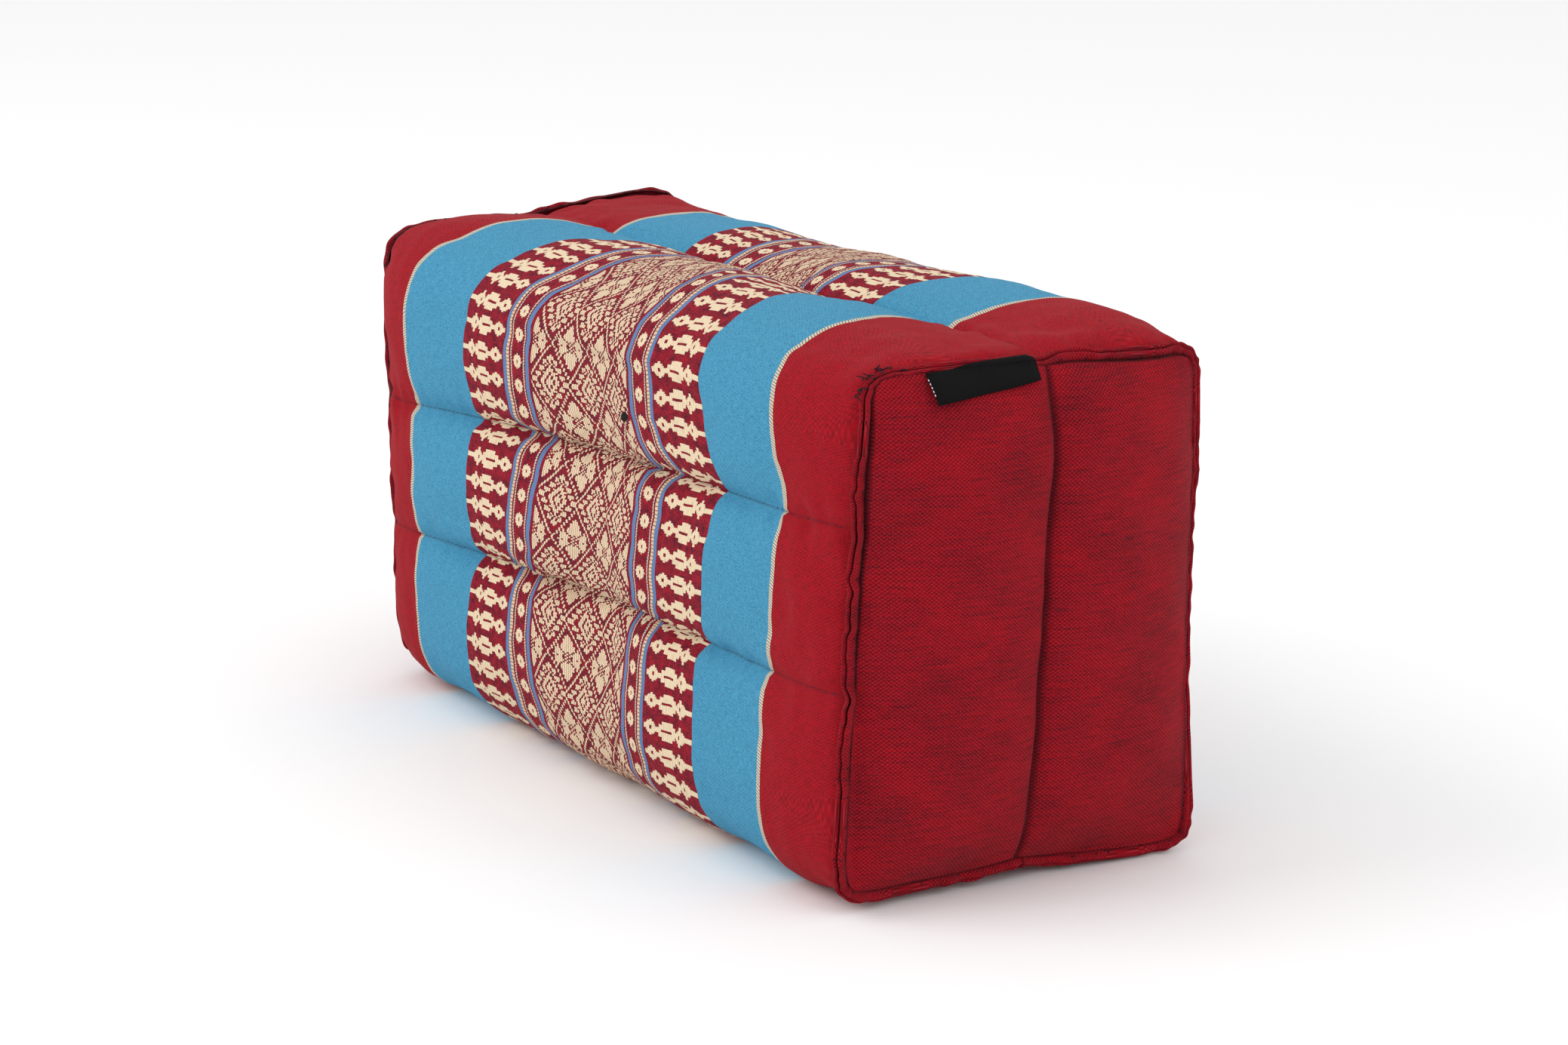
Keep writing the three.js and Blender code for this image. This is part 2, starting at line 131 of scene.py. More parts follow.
def outline(step, x):
    """(y, z) of the outline. Steps run from the middle of the bottom up the front and down the back."""
    step, x = np.broadcast_arrays(np.asarray(step, float), np.asarray(x, float))
    s = section(x)
    turn = np.mod(step, GIRTH)
    is_back = turn > HALF
    turn = np.where(is_back, GIRTH - turn, turn)
    inner = s["half"] / 2
    low = (s["seam_low"] + s["bottom"]) / 2
    middle = (s["seam_high"] + s["seam_low"]) / 2
    high = (s["seam_high"] + s["top"]) / 2

    def side(crest, seam, share):
        z = crest + (seam - crest) * share
        return lobe(z - crest, np.abs(seam - crest), s["valley"]) - s["half"], z

    def corner(flat, level, share):
        power, angle = 2 / s["corner"], share * math.pi / 2
        y = -inner - (s["half"] - inner) * np.clip(np.sin(angle), 0, 1) ** power
        return y, level + (flat - level) * np.clip(np.cos(angle), 0, 1) ** power

    makers = [
        lambda t: (-inner * t, s["bottom"] + lobe(inner * (1 - t), inner, s["crease"])),
        lambda t: corner(s["bottom"], low, t),
        lambda t: side(low, s["seam_low"], t),
        lambda t: side(middle, s["seam_low"], 1 - t),
        lambda t: side(middle, s["seam_high"], t),
        lambda t: side(high, s["seam_high"], 1 - t),
        lambda t: corner(s["top"], high, 1 - t),
        lambda t: (-inner * (1 - t), s["top"] - lobe(inner * t, inner, s["crease"])),
    ]
    y, z = np.zeros(turn.shape), np.zeros(turn.shape)
    start = 0
    for length, make in zip(RUNS, makers):
        t = np.clip((turn - start) / length, 0, 1)
        yy, zz = make(t)
        here = (turn >= start) & (turn <= start + length)
        y, z = np.where(here, yy, y), np.where(here, zz, z)
        start += length
    outward = np.clip(-y / 40, 0, 1)
    y = y - s["lean"] * np.where(is_back, BACK_LEAN, 1.0) * (1 - z / 85) * outward
    rise = np.clip((z - s["seam_high"]) / (s["top"] - s["seam_high"]), 0, 1)
    z = np.where(is_back, z + s["lift"] * outward * rise, z)
    near = smooth(1 - (SEAM_X - x) / DRAWN_REACH)
    height = np.clip((z - DRAWN_FROM) / DRAWN_HEIGHT, 0, 1)
    drawn = DRAWN_DEPTH * np.sin(math.pi * height).clip(0) ** DRAWN_POWER * near
    y = np.where(is_back, -y - drawn * outward, y)
    z = np.where(is_back, z - LOW_BACK_DROP * near * outward * smooth(1 - z / LOW_BACK_HEIGHT), z)
    return y, np.maximum(z, FLOOR_LEVEL)


def run_length(line):
    """How far along a line of points each point is."""
    return np.concatenate([[0], np.cumsum(np.linalg.norm(np.diff(line, axis=0), axis=1))])


def cut(line, length, span):
    """The points of a line at the lengths in span."""
    return np.stack([np.interp(span, length, line[:, k]) for k in range(3)], -1)


def outward_direction(step, x):
    """Unit vectors square to the outline, pointing outwards."""
    y0, z0 = outline(step - 0.5, x)
    y1, z1 = outline(step + 0.5, x)
    d = np.stack([z0 - z1, y1 - y0], -1)
    return d / np.linalg.norm(d, axis=-1, keepdims=True)


def seam_bow(y, z):
    """How far the end's seam bows outwards along x."""
    across = np.clip(1 - (y / BOW_HALF_WIDTH) ** 2, 0, 1)
    return across * (BOW_LOW + BOW_RISE * np.clip(z / BOW_HEIGHT, 0, 1))


def wrap_point(step, x):
    """The wrap's even form before gathers and puckers."""
    y, z = outline(step, x)
    fade = smooth(1 - (SEAM_X - np.abs(x)) / BOW_REACH)
    return np.stack([x + np.sign(x) * fade * seam_bow(y, z), y, z], -1)


# Meshes
def new_object(name, data):
    """An object made of its data and linked to the scene."""
    obj = bpy.data.objects.new(name, data)
    bpy.context.scene.collection.objects.link(obj)
    return obj


def mesh_object(name, points, faces, values=None):
    """A mesh of points in raw millimetres, with per-point values as attributes."""
    mesh = bpy.data.meshes.new(name)
    mesh.from_pydata([tuple(p) for p in (points + SHIFT) * MM], [], [tuple(f) for f in faces])
    mesh.update()
    for key, data in (values or {}).items():
        layer = mesh.attributes.new(key, "FLOAT", "POINT")
        layer.data.foreach_set("value", np.asarray(data, np.float32).ravel())
    mesh.polygons.foreach_set("use_smooth", [True] * len(mesh.polygons))
    return new_object(name, mesh)


def grid_faces(rows, columns, wrap_rows=False, flip=False):
    """Quads of a grid of points numbered row by row. wrap_rows joins the last row to the first."""
    i = np.arange(rows if wrap_rows else rows - 1)[:, None]
    j = np.arange(columns - 1)[None, :]
    nxt = (i + 1) % rows
    quads = np.stack(
        [i * columns + j, nxt * columns + j, nxt * columns + j + 1, i * columns + j + 1], -1
    ).reshape(-1, 4)
    return quads[:, ::-1] if flip else quads


def put(obj, material, slot_name, *nodes):
    """Gives a piece its material and body, and hides the nodes that it replaces; slot_name is not used."""
    obj.data.materials.append(material)
    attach(obj, "root")
    if nodes:
        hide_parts(*nodes)
    return obj


def waves(shape_a, shape_b, count, low, high, rng):
    """Smooth noise as a sum of plane waves over two coordinates, from about -1 to 1."""
    total = np.zeros(np.broadcast(shape_a, shape_b).shape)
    for _ in range(count):
        angle = rng.uniform(0, 2 * math.pi)
        pitch = rng.uniform(low, high)
        phase = rng.uniform(0, 2 * math.pi)
        total += np.sin(2 * math.pi * (shape_a * math.cos(angle) + shape_b * math.sin(angle)) / pitch + phase)
    return total / math.sqrt(count)


# The wrap: a coarse grid that is simulated, then a fine one that takes the simulated change
COARSE_RUN = [8, 12, 6, 6, 6, 6, 12, 8]
COARSE_LONG = 64
FINER = 3


def round_steps(finer):
    """Steps round the whole girth."""
    half, start = [], 0
    for length, cells in zip(RUNS, COARSE_RUN):
        n = cells * finer
        half += list(start + length * np.arange(n) / n)
        start += length
    half = np.array(half)
    return np.concatenate([half, [HALF], GIRTH - half[:0:-1]])


def long_places(count):
    """x of each station, closer together near the ends."""
    t = np.linspace(-1, 1, count + 1)
    return (SEAM_X - 0.15) * (t + 0.06 * np.sin(math.pi * t))


def seam_distance(step, x):
    """How far, in mm, a point of the outline is from the nearest sewn line."""
    total = np.full(np.broadcast(step, x).shape, 1e9)
    y0, z0 = outline(step, x)
    for s in (0,) + SEAM_STEPS:
        y1, z1 = outline(np.full_like(step, s), x)
        total = np.minimum(total, np.hypot(y0 - y1, z0 - z1))
    return total


def simulate(points, pinned):
    """The cloth of the wrap blown out a little by its filling, as the change of each point in mm."""
    n_round, n_long = points.shape[:2]
    flat = points.reshape(-1, 3) * MM * SIM_SCALE
    mesh = bpy.data.meshes.new("wrap_simulation")
    mesh.from_pydata([tuple(p) for p in flat], [], [tuple(f) for f in grid_faces(n_round, n_long, True)])
    mesh.update()
    obj = new_object("wrap_simulation", mesh)
    group = obj.vertex_groups.new(name="pin")
    for level in np.unique(np.round(pinned.ravel(), 2)):
        if level > 0:
            members = np.nonzero(np.round(pinned.ravel(), 2) == level)[0]
            group.add([int(m) for m in members], float(level), "REPLACE")
    cloth = obj.modifiers.new("Cloth", "CLOTH")
    settings = cloth.settings
    settings.quality = 5
    settings.mass = 0.2
    settings.tension_stiffness = 120
    settings.compression_stiffness = 120
    settings.shear_stiffness = 60
    settings.bending_stiffness = 6
    settings.use_pressure = True
    settings.uniform_pressure_force = SIM_PRESSURE
    settings.shrink_min = 0.0
    settings.effector_weights.gravity = 0
    settings.vertex_group_mass = "pin"
    cloth.collision_settings.use_collision = False
    scene = bpy.context.scene
    cloth.point_cache.frame_start, cloth.point_cache.frame_end = 1, SIM_FRAMES
    for f in range(1, SIM_FRAMES + 1):
        scene.frame_set(f)
    dg = bpy.context.evaluated_depsgraph_get()
    moved = obj.evaluated_get(dg).to_mesh()
    co = np.empty(len(moved.vertices) * 3)
    moved.vertices.foreach_get("co", co)
    scene.frame_set(1)
    bpy.data.objects.remove(obj)
    bpy.data.meshes.remove(mesh)
    change = (co.reshape(points.shape) - flat.reshape(points.shape)) / (MM * SIM_SCALE)
    return np.nan_to_num(change)


def refine(values, factor):
    """Cubic interpolation of a grid that is closed along its first axis and open along its second."""
    def weights(t):
        return [
            -0.5 * t + t * t - 0.5 * t**3,
            1 - 2.5 * t * t + 1.5 * t**3,
            0.5 * t + 2 * t * t - 1.5 * t**3,
            -0.5 * t * t + 0.5 * t**3,
        ]

    n = values.shape[0]
    i = np.arange(n * factor)
    w = weights((i % factor) / factor)
    first = sum(w[k][:, None, None] * values[(i // factor + k - 1) % n] for k in range(4))
    m = values.shape[1]
    j = np.arange((m - 1) * factor + 1)
    base = np.minimum(j // factor, m - 2)
    w = weights(j / factor - base)
    return sum(w[k][None, :, None] * first[:, np.clip(base + k - 1, 0, m - 1)] for k in range(4))


def normals_of(points):
    """Outward unit normals of a grid closed along its first axis."""
    around = np.roll(points, -1, 0) - np.roll(points, 1, 0)
    along = np.gradient(points, axis=1)
    n = np.cross(around, along)
    n /= np.maximum(np.linalg.norm(n, axis=-1, keepdims=True), 1e-9)
    middle = points.mean(axis=(0, 1))
    if np.mean(np.sum(n * (points - middle), -1)) < 0:
        n = -n
    return n


# How the stuffing draws the cloth: at each place round the girth, where the stripe edges lie along x, read
# from the photo laid flat
EDGES = [-82.0, -50.4, -34.4, 34.4, 50.4, 82.0]
DRAWN = np.array([
    [0] + EDGES,
    [72, -83, -50, -31, 31, 43, 82],
    [81, -82.7, -51, -31.8, 31, 43.6, 81],
    [90, -82, -51.8, -32.7, 31.5, 45, 80.5],
    [99, -81.8, -52.4, -33.6, 31.5, 45.5, 79.8],
    [108, -81.8, -53, -35.5, 29.6, 45, 79],
    [117, -81.8, -54, -37.3, 27.3, 43, 78.2],
    [126, -82.5, -55.5, -41, 24, 41, 76],
    [131, -83, -57.3, -43.6, 22, 39, 75.5],
    [136, -83, -60, -47.3, 22.7, 40, 80],
    [141, -83, -56, -41.8, 31.8, 46.4, 82],
    [148, -82.4, -52.7, -36.4, 35.5, 50.5, 82.7],
    [155, -82, -51, -34, 35.5, 51.5, 84],
    [165, -81, -49.6, -32.7, 37, 52.5, 85],
    [177, -81.5, -48.2, -31.8, 38, 53.2, 87.5],
    [186, -83.6, -48.2, -32.2, 35.5, 51, 88],
    [192, -82.7, -49, -32.7, 33, 49, 86.4],
    [196, -84.5, -55.5, -37.3, 41, 57, 89],
    [201, -82.5, -54.5, -35.5, 40, 58, 90],
    [208, -83, -52.2, -34.5, 36.7, 52.7, 89],
    [217, -83.6, -51.8, -35, 34.2, 48.2, 85.5],
    [226, -82.4, -51.5, -34.5, 34.5, 49, 83.6],
    [235, -79.5, -49, -32.7, 35.5, 49.6, 81.8],
    [245, -77.3, -45.5, -30.4, 34.5, 47.3, 78.2],
    [254, -73.6, -41, -26.4, 32.7, 44.5, 75],
    [263, -69, -35.5, -22, 30, 41.8, 71.8],
    [272, -64.5, -32.7, -21, 26.4, 38.2, 70],
    [281, -61, -32.3, -20, 21, 33.6, 67],
    [290, -58, -31.5, -18, 14.5, 27.3, 64],
    [345, -60, -33, -19, 16, 29, 65],
    [440] + EDGES,
    [640] + EDGES,
])
# Rows of the weave, a border repeat apart, and where each lies round the girth at places along x,
# the inner two of which share a column
ROW_START, PITCH = 73.5, 8.947
ROWS_AT = [-38.0, -22.0, 22.0, 41.0, 67.0]
ROWS = np.array([
    [80.9, 83.0, 79.5, 81.8],
    [90.4, 91.0, 88.5, 90.4],
    [99.5, 99.1, 97.8, 98.7],
    [108.7, 107.5, 106.0, 107.6],
    [117.3, 116.1, 114.2, 116.0],
    [125.8, 124.8, 122.7, 125.0],
    [133.5, 132.8, 131.0, 132.0],
    [141.5, 140.6, 138.5, 138.0],
    [150.4, 149.3, 147.8, 147.3],
    [160.0, 157.5, 156.4, 156.4],
    [168.5, 166.1, 165.0, 164.5],
    [177.3, 175.1, 173.6, 173.6],
    [186.4, 184.5, 182.7, 183.0],
    [194.2, 193.3, 191.0, 191.5],
    [197.5, 197.5, 198.5, 200.0],
    [206.0, 206.0, 206.7, 209.0],
    [215.5, 215.0, 215.0, 217.6],
    [223.6, 224.0, 224.5, 226.7],
    [232.7, 233.0, 234.0, 236.2],
    [240.9, 241.9, 243.0, 246.0],
    [250.0, 250.8, 252.4, 256.0],
    [258.0, 259.8, 262.7, 267.3],
    [266.0, 268.7, 273.6, 277.6],
    [273.6, 277.7, 284.0, 288.0],
])


def drawn_cloth(x, g):
    """The cloth's own coordinates, along x and round the girth, at places on the cushion."""
    shift = np.interp(g, DRAWN[:, 0], DRAWN[:, 1]) + 82, np.interp(g, DRAWN[:, 0], DRAWN[:, 6]) - 82
    knots = [-162 + 0 * g, -126 + 0.8 * shift[0]]
    knots += [np.interp(g, DRAWN[:, 0], DRAWN[:, k]) for k in range(1, 7)]
    knots += [126 + 0.6 * shift[1], 162 + 0 * g]
    marks = [-162, -126] + EDGES + [126, 162]
    own_x = np.full(x.shape, -162.0)
    for k in range(9):
        own_x += (marks[k + 1] - marks[k]) * np.clip((x - knots[k]) / (knots[k + 1] - knots[k]), 0, 1)
    levels = np.concatenate([[0.0], ROW_START + PITCH * np.arange(24), [306.1, 640.0]])
    rounds = [np.interp(g, np.concatenate([[8.0], ROWS[:, k], [304.5, 638.4]]), levels)
              for k in (0, 1, 1, 2, 3)]
    own_g = rounds[0].copy()
    for k in range(4):
        share = np.clip((own_x - ROWS_AT[k]) / (ROWS_AT[k + 1] - ROWS_AT[k]), 0, 1)
        own_g += (rounds[k + 1] - rounds[k]) * share
    return own_x, own_g


def make_wrap():
    """The patterned wrap, its points, steps and normals."""
    coarse_steps, coarse_x = round_steps(1), long_places(COARSE_LONG)
    steps, xs = coarse_steps[:, None], coarse_x[None, :]
    steps, xs = np.broadcast_arrays(steps, xs)
    coarse = wrap_point(steps, xs)
    end_distance = SEAM_X - np.abs(xs)
    sewn = np.isclose(steps, 0)
    for s in SEAM_STEPS:
        sewn |= np.isclose(steps, s)
    pinned = np.where(sewn | (end_distance < 0.5), 1.0, 0.0)
    pinned = np.where((coarse[..., 2] < FLOOR_LEVEL + 0.3) & (pinned == 0), 0.6, pinned)
    change = np.zeros(coarse.shape)
    change = simulate(coarse, pinned)
    size = np.linalg.norm(change, axis=-1, keepdims=True)
    change *= np.minimum(1, MOVE_CAP / np.maximum(size, 1e-6))
    largest, mean = round(float(size.max()), 2), round(float(size.mean()), 2)
    print("wrap simulation moved points by up to", largest, "mm, mean", mean)
    outwards = np.sum(change * normals_of(coarse), -1)
    change -= outwards.mean() * normals_of(coarse) * (1 - pinned)[..., None]
    fine_steps = round_steps(FINER)[:, None]
    x_index = np.arange(COARSE_LONG * FINER + 1) / FINER
    fine_x = np.interp(x_index, np.arange(COARSE_LONG + 1), coarse_x)[None, :]
    fine_steps, fine_x = np.broadcast_arrays(fine_steps, fine_x)
    points = wrap_point(fine_steps, fine_x) + refine(change, FINER)
    normal = normals_of(wrap_point(fine_steps, fine_x))

    y0, z0 = outline(fine_steps[:, :1], np.zeros((fine_steps.shape[0], 1)))
    ring = np.stack([y0[:, 0], z0[:, 0]], -1)
    girth_mm = run_length(ring)[:, None] + 0 * fine_x
    seam_mm = seam_distance(fine_steps, fine_x)
    end_mm = SEAM_X - np.abs(fine_x)
    top_or_bottom = (fine_steps < 6) | (fine_steps > 66) | ((fine_steps > 30) & (fine_steps < 42))

    # gathers at the sewn lines, puckers at the ends, and soft unevenness of the filling
    gather = waves(fine_x, 0.35 * girth_mm, 9, 7, 17, RNG)
    fold = np.exp(-(seam_mm / 7.0) ** 1.2) * smooth(seam_mm / 1.6)
    lift = GATHER * gather * fold * np.where(top_or_bottom, 1.25, 1.0)
    pucker = waves(girth_mm, 0.3 * fine_x, 9, 8, 17, RNG)
    lift += END_PUCKER * pucker * np.exp(-(end_mm / 9.0) ** 1.3) * smooth(end_mm / 2.0)
    lift += SWELL * waves(fine_x, girth_mm, 10, 34, 80, RNG) * smooth(seam_mm / 12) * smooth(end_mm / 10)
    lift += RIPPLE * waves(fine_x, girth_mm, 10, 9, 20, RNG) * smooth(seam_mm / 5) * smooth(end_mm / 5)
    # a soft hollow in the front beside the middle
    front = smooth((8 - np.abs(fine_steps - 18)) / 4 + 0.6)
    lift -= HOLLOW_DEPTH * front * np.exp(-(((fine_x - HOLLOW_X) / HOLLOW_WIDTH) ** 2)) * smooth(seam_mm / 14)
    points = points + normal * lift[..., None]
    points[..., 2] = np.maximum(points[..., 2], FLOOR_LEVEL)

    cloth_x = np.interp(
        fine_x,
        [-161, -127.2, -81.2, -48.0, -33.4, -30.2, -6.0, 16.6, 34.8, 37.6, 53.0, 83.0, 125.0, 161],
        [-160, -126, -82, -50.4, -34.4, -31.5, -10.5, 10.5, 31.5, 34.4, 50.4, 82, 126, 162],
    )
    cloth_x, cloth_g = drawn_cloth(cloth_x, girth_mm)
    n_round, n_long = points.shape[:2]
    values = {"cloth_x": cloth_x, "cloth_g": cloth_g, "seam_mm": seam_mm}
    obj = mesh_object(
        "cushion", points.reshape(-1, 3), grid_faces(n_round, n_long, True, flip=True), values
    )
    return obj, points, fine_steps, normal


# Procedural materials
class Graph:
    """A material, built node by node."""

    def __init__(self, name):
        self.material = bpy.data.materials.new(name)
        self.material.use_nodes = True
        self.tree = self.material.node_tree
        self.tree.nodes.clear()
        self.out = self.tree.nodes.new("ShaderNodeOutputMaterial")
        self.shader = self.tree.nodes.new("ShaderNodeBsdfPrincipled")
        self.tree.links.new(self.shader.outputs[0], self.out.inputs[0])

    def feed(self, socket, value):
        if isinstance(value, bpy.types.NodeSocket):
            self.tree.links.new(value, socket)
        else:
            socket.default_value = value

    def math(self, kind, *values):
        node = self.tree.nodes.new("ShaderNodeMath")
        node.operation = kind
        for socket, value in zip(node.inputs, values):
            self.feed(socket, value)
        return node.outputs[0]

    def add(self, a, b):
        return self.math("ADD", a, b)

    def sub(self, a, b):
        return self.math("SUBTRACT", a, b)

    def mul(self, a, b):
        return self.math("MULTIPLY", a, b)

    def near(self, value, middle, reach):
        """1 where value is within reach of middle."""
        return self.math("COMPARE", value, middle, reach)

    def less(self, a, b):
        return self.math("LESS_THAN", a, b)

    def attribute(self, name):
        node = self.tree.nodes.new("ShaderNodeAttribute")
        node.attribute_type = "GEOMETRY"
        node.attribute_name = name
        return node.outputs["Fac"]

    def vector(self, x, y, z=0.0):
        node = self.tree.nodes.new("ShaderNodeCombineXYZ")
        for socket, value in zip(node.inputs, (x, y, z)):
            self.feed(socket, value)
        return node.outputs[0]

    def noise(self, vector, scale, detail=2.0, roughness=0.5):
        node = self.tree.nodes.new("ShaderNodeTexNoise")
        self.feed(node.inputs["Vector"], vector)
        node.inputs["Scale"].default_value = scale
        node.inputs["Detail"].default_value = detail
        node.inputs["Roughness"].default_value = roughness
        return node.outputs["Fac"]

    def mix(self, a, b, factor):
        node = self.tree.nodes.new("ShaderNodeMix")
        node.data_type = "RGBA"
        self.feed(node.inputs["Factor"], factor)
        sockets = [s for s in node.inputs if s.type == "RGBA"]
        for socket, value in zip(sockets, (a, b)):
            self.feed(socket, value)
        return [s for s in node.outputs if s.type == "RGBA"][0]

    def ramp(self, value, low, high):
        """0 below low and 1 above high, straight in between."""
        node = self.tree.nodes.new("ShaderNodeMapRange")
        self.feed(node.inputs["Value"], value)
        node.inputs["From Min"].default_value = low
        node.inputs["From Max"].default_value = high
        return node.outputs["Result"]

    def digit(self, index, row, table, base):
        """The digit at index within a row of a listed table, each row being digits of a base."""
        total = 0.0
        for r, digits in enumerate(table):
            value = float(sum(int(d) * base**k for k, d in enumerate(digits)))
            total = self.math("MULTIPLY_ADD", self.near(row, float(r), 0.5), value, total)
        power = self.math("POWER", float(base), index)
        shifted = self.math("FLOOR", self.math("DIVIDE", self.add(total, 0.5), power))
        return self.math("MODULO", shifted, float(base))

    def weave(self, x, y, pitch_x, pitch_y, wobble):
        """Plain weave as -1 to 1: two threads each way in a pitch."""
        across = self.math("SINE", self.add(self.mul(x, 2 * math.pi / pitch_x), wobble))
        along = self.math("SINE", self.add(self.mul(y, 2 * math.pi / pitch_y), wobble))
        return self.mul(across, along)

    def total(self, *pairs):
        """Sum of values, each times its weight."""
        parts = [self.mul(value, weight) for value, weight in pairs]
        result = parts[0]
        for part in parts[1:]:
            result = self.add(result, part)
        return result

    def tint(self, look, shade, value, low, high, amount):
        """look turned towards shade, by up to amount as value runs from low to high."""
        return self.mix(look, shade, self.mul(self.ramp(value, low, high), amount))

    def finish(self, colour, height=None, distance=0.0002, roughness=0.95, sheen=0.015):
        self.feed(self.shader.inputs["Base Color"], colour)
        self.shader.inputs["Roughness"].default_value = roughness
        self.shader.inputs["Specular IOR Level"].default_value = 0.13
        self.shader.inputs["Sheen Weight"].default_value = sheen
        self.shader.inputs["Sheen Roughness"].default_value = 0.6
        if height is not None:
            bump = self.tree.nodes.new("ShaderNodeBump")
            bump.inputs["Strength"].default_value = 1.0
            bump.inputs["Distance"].default_value = distance
            self.feed(bump.inputs["Height"], height)
            self.tree.links.new(bump.outputs[0], self.shader.inputs["Normal"])
        return self.material


def colour(r, g, b):
    """An sRGB colour from 0 to 255 as linear RGBA."""
    def one(c):
        c /= 255
        return c / 12.92 if c <= 0.04045 else ((c + 0.055) / 1.055) ** 2.4

    return (one(r), one(g), one(b), 1.0)


CREAM = colour(228, 208, 176)
CREAM_DARK = colour(190, 162, 132)
RED = colour(162, 14, 28)
RED_DARK = colour(112, 16, 26)
BLUE = colour(74, 151, 185)
BLUE_DARK = colour(42, 102, 138)
LINE_BLUE = colour(92, 122, 164)

# A quarter of the lozenge field: a flower at the first cell and a stepped diamond at the last
FIELD = [
    "#..##.##..#",
    ".#.####...#",
    "#.#####..#.",
    ".#.####.#..",
    "###.###.#..",
    "####.#.#...",
    "####.#.#...",
    "####..#...#",
    "###...#..##",
    "###..#...##",
    "###..#.##.#",
    "##..#..##.#",
    "##..#..#.#.",
    "#..#....#.#",
    "...#.###..#",
    "..#..###.##",
    "..#..##..##",
    ".#.....###.",
    ".#.###..##.",
    "#..###.##.#",
    "#...#..##.#",
    ".###..##.##",
    ".###..##.##",
]
# Half-heights, in threads, of the border's motif from its flower's point to its stem, and of the small flower
BORDER = "1234455443222444666666664423466443222222"
SMALL = "54431"
# In mm of cloth: the dark spot's place, the border's threads and cells, and the field's cells both ways
SPOT = (27.0, 216.4)
THREAD = 0.68
CELL = 0.735
FIELD_X = 21.0 / 20
FIELD_G = 0.61


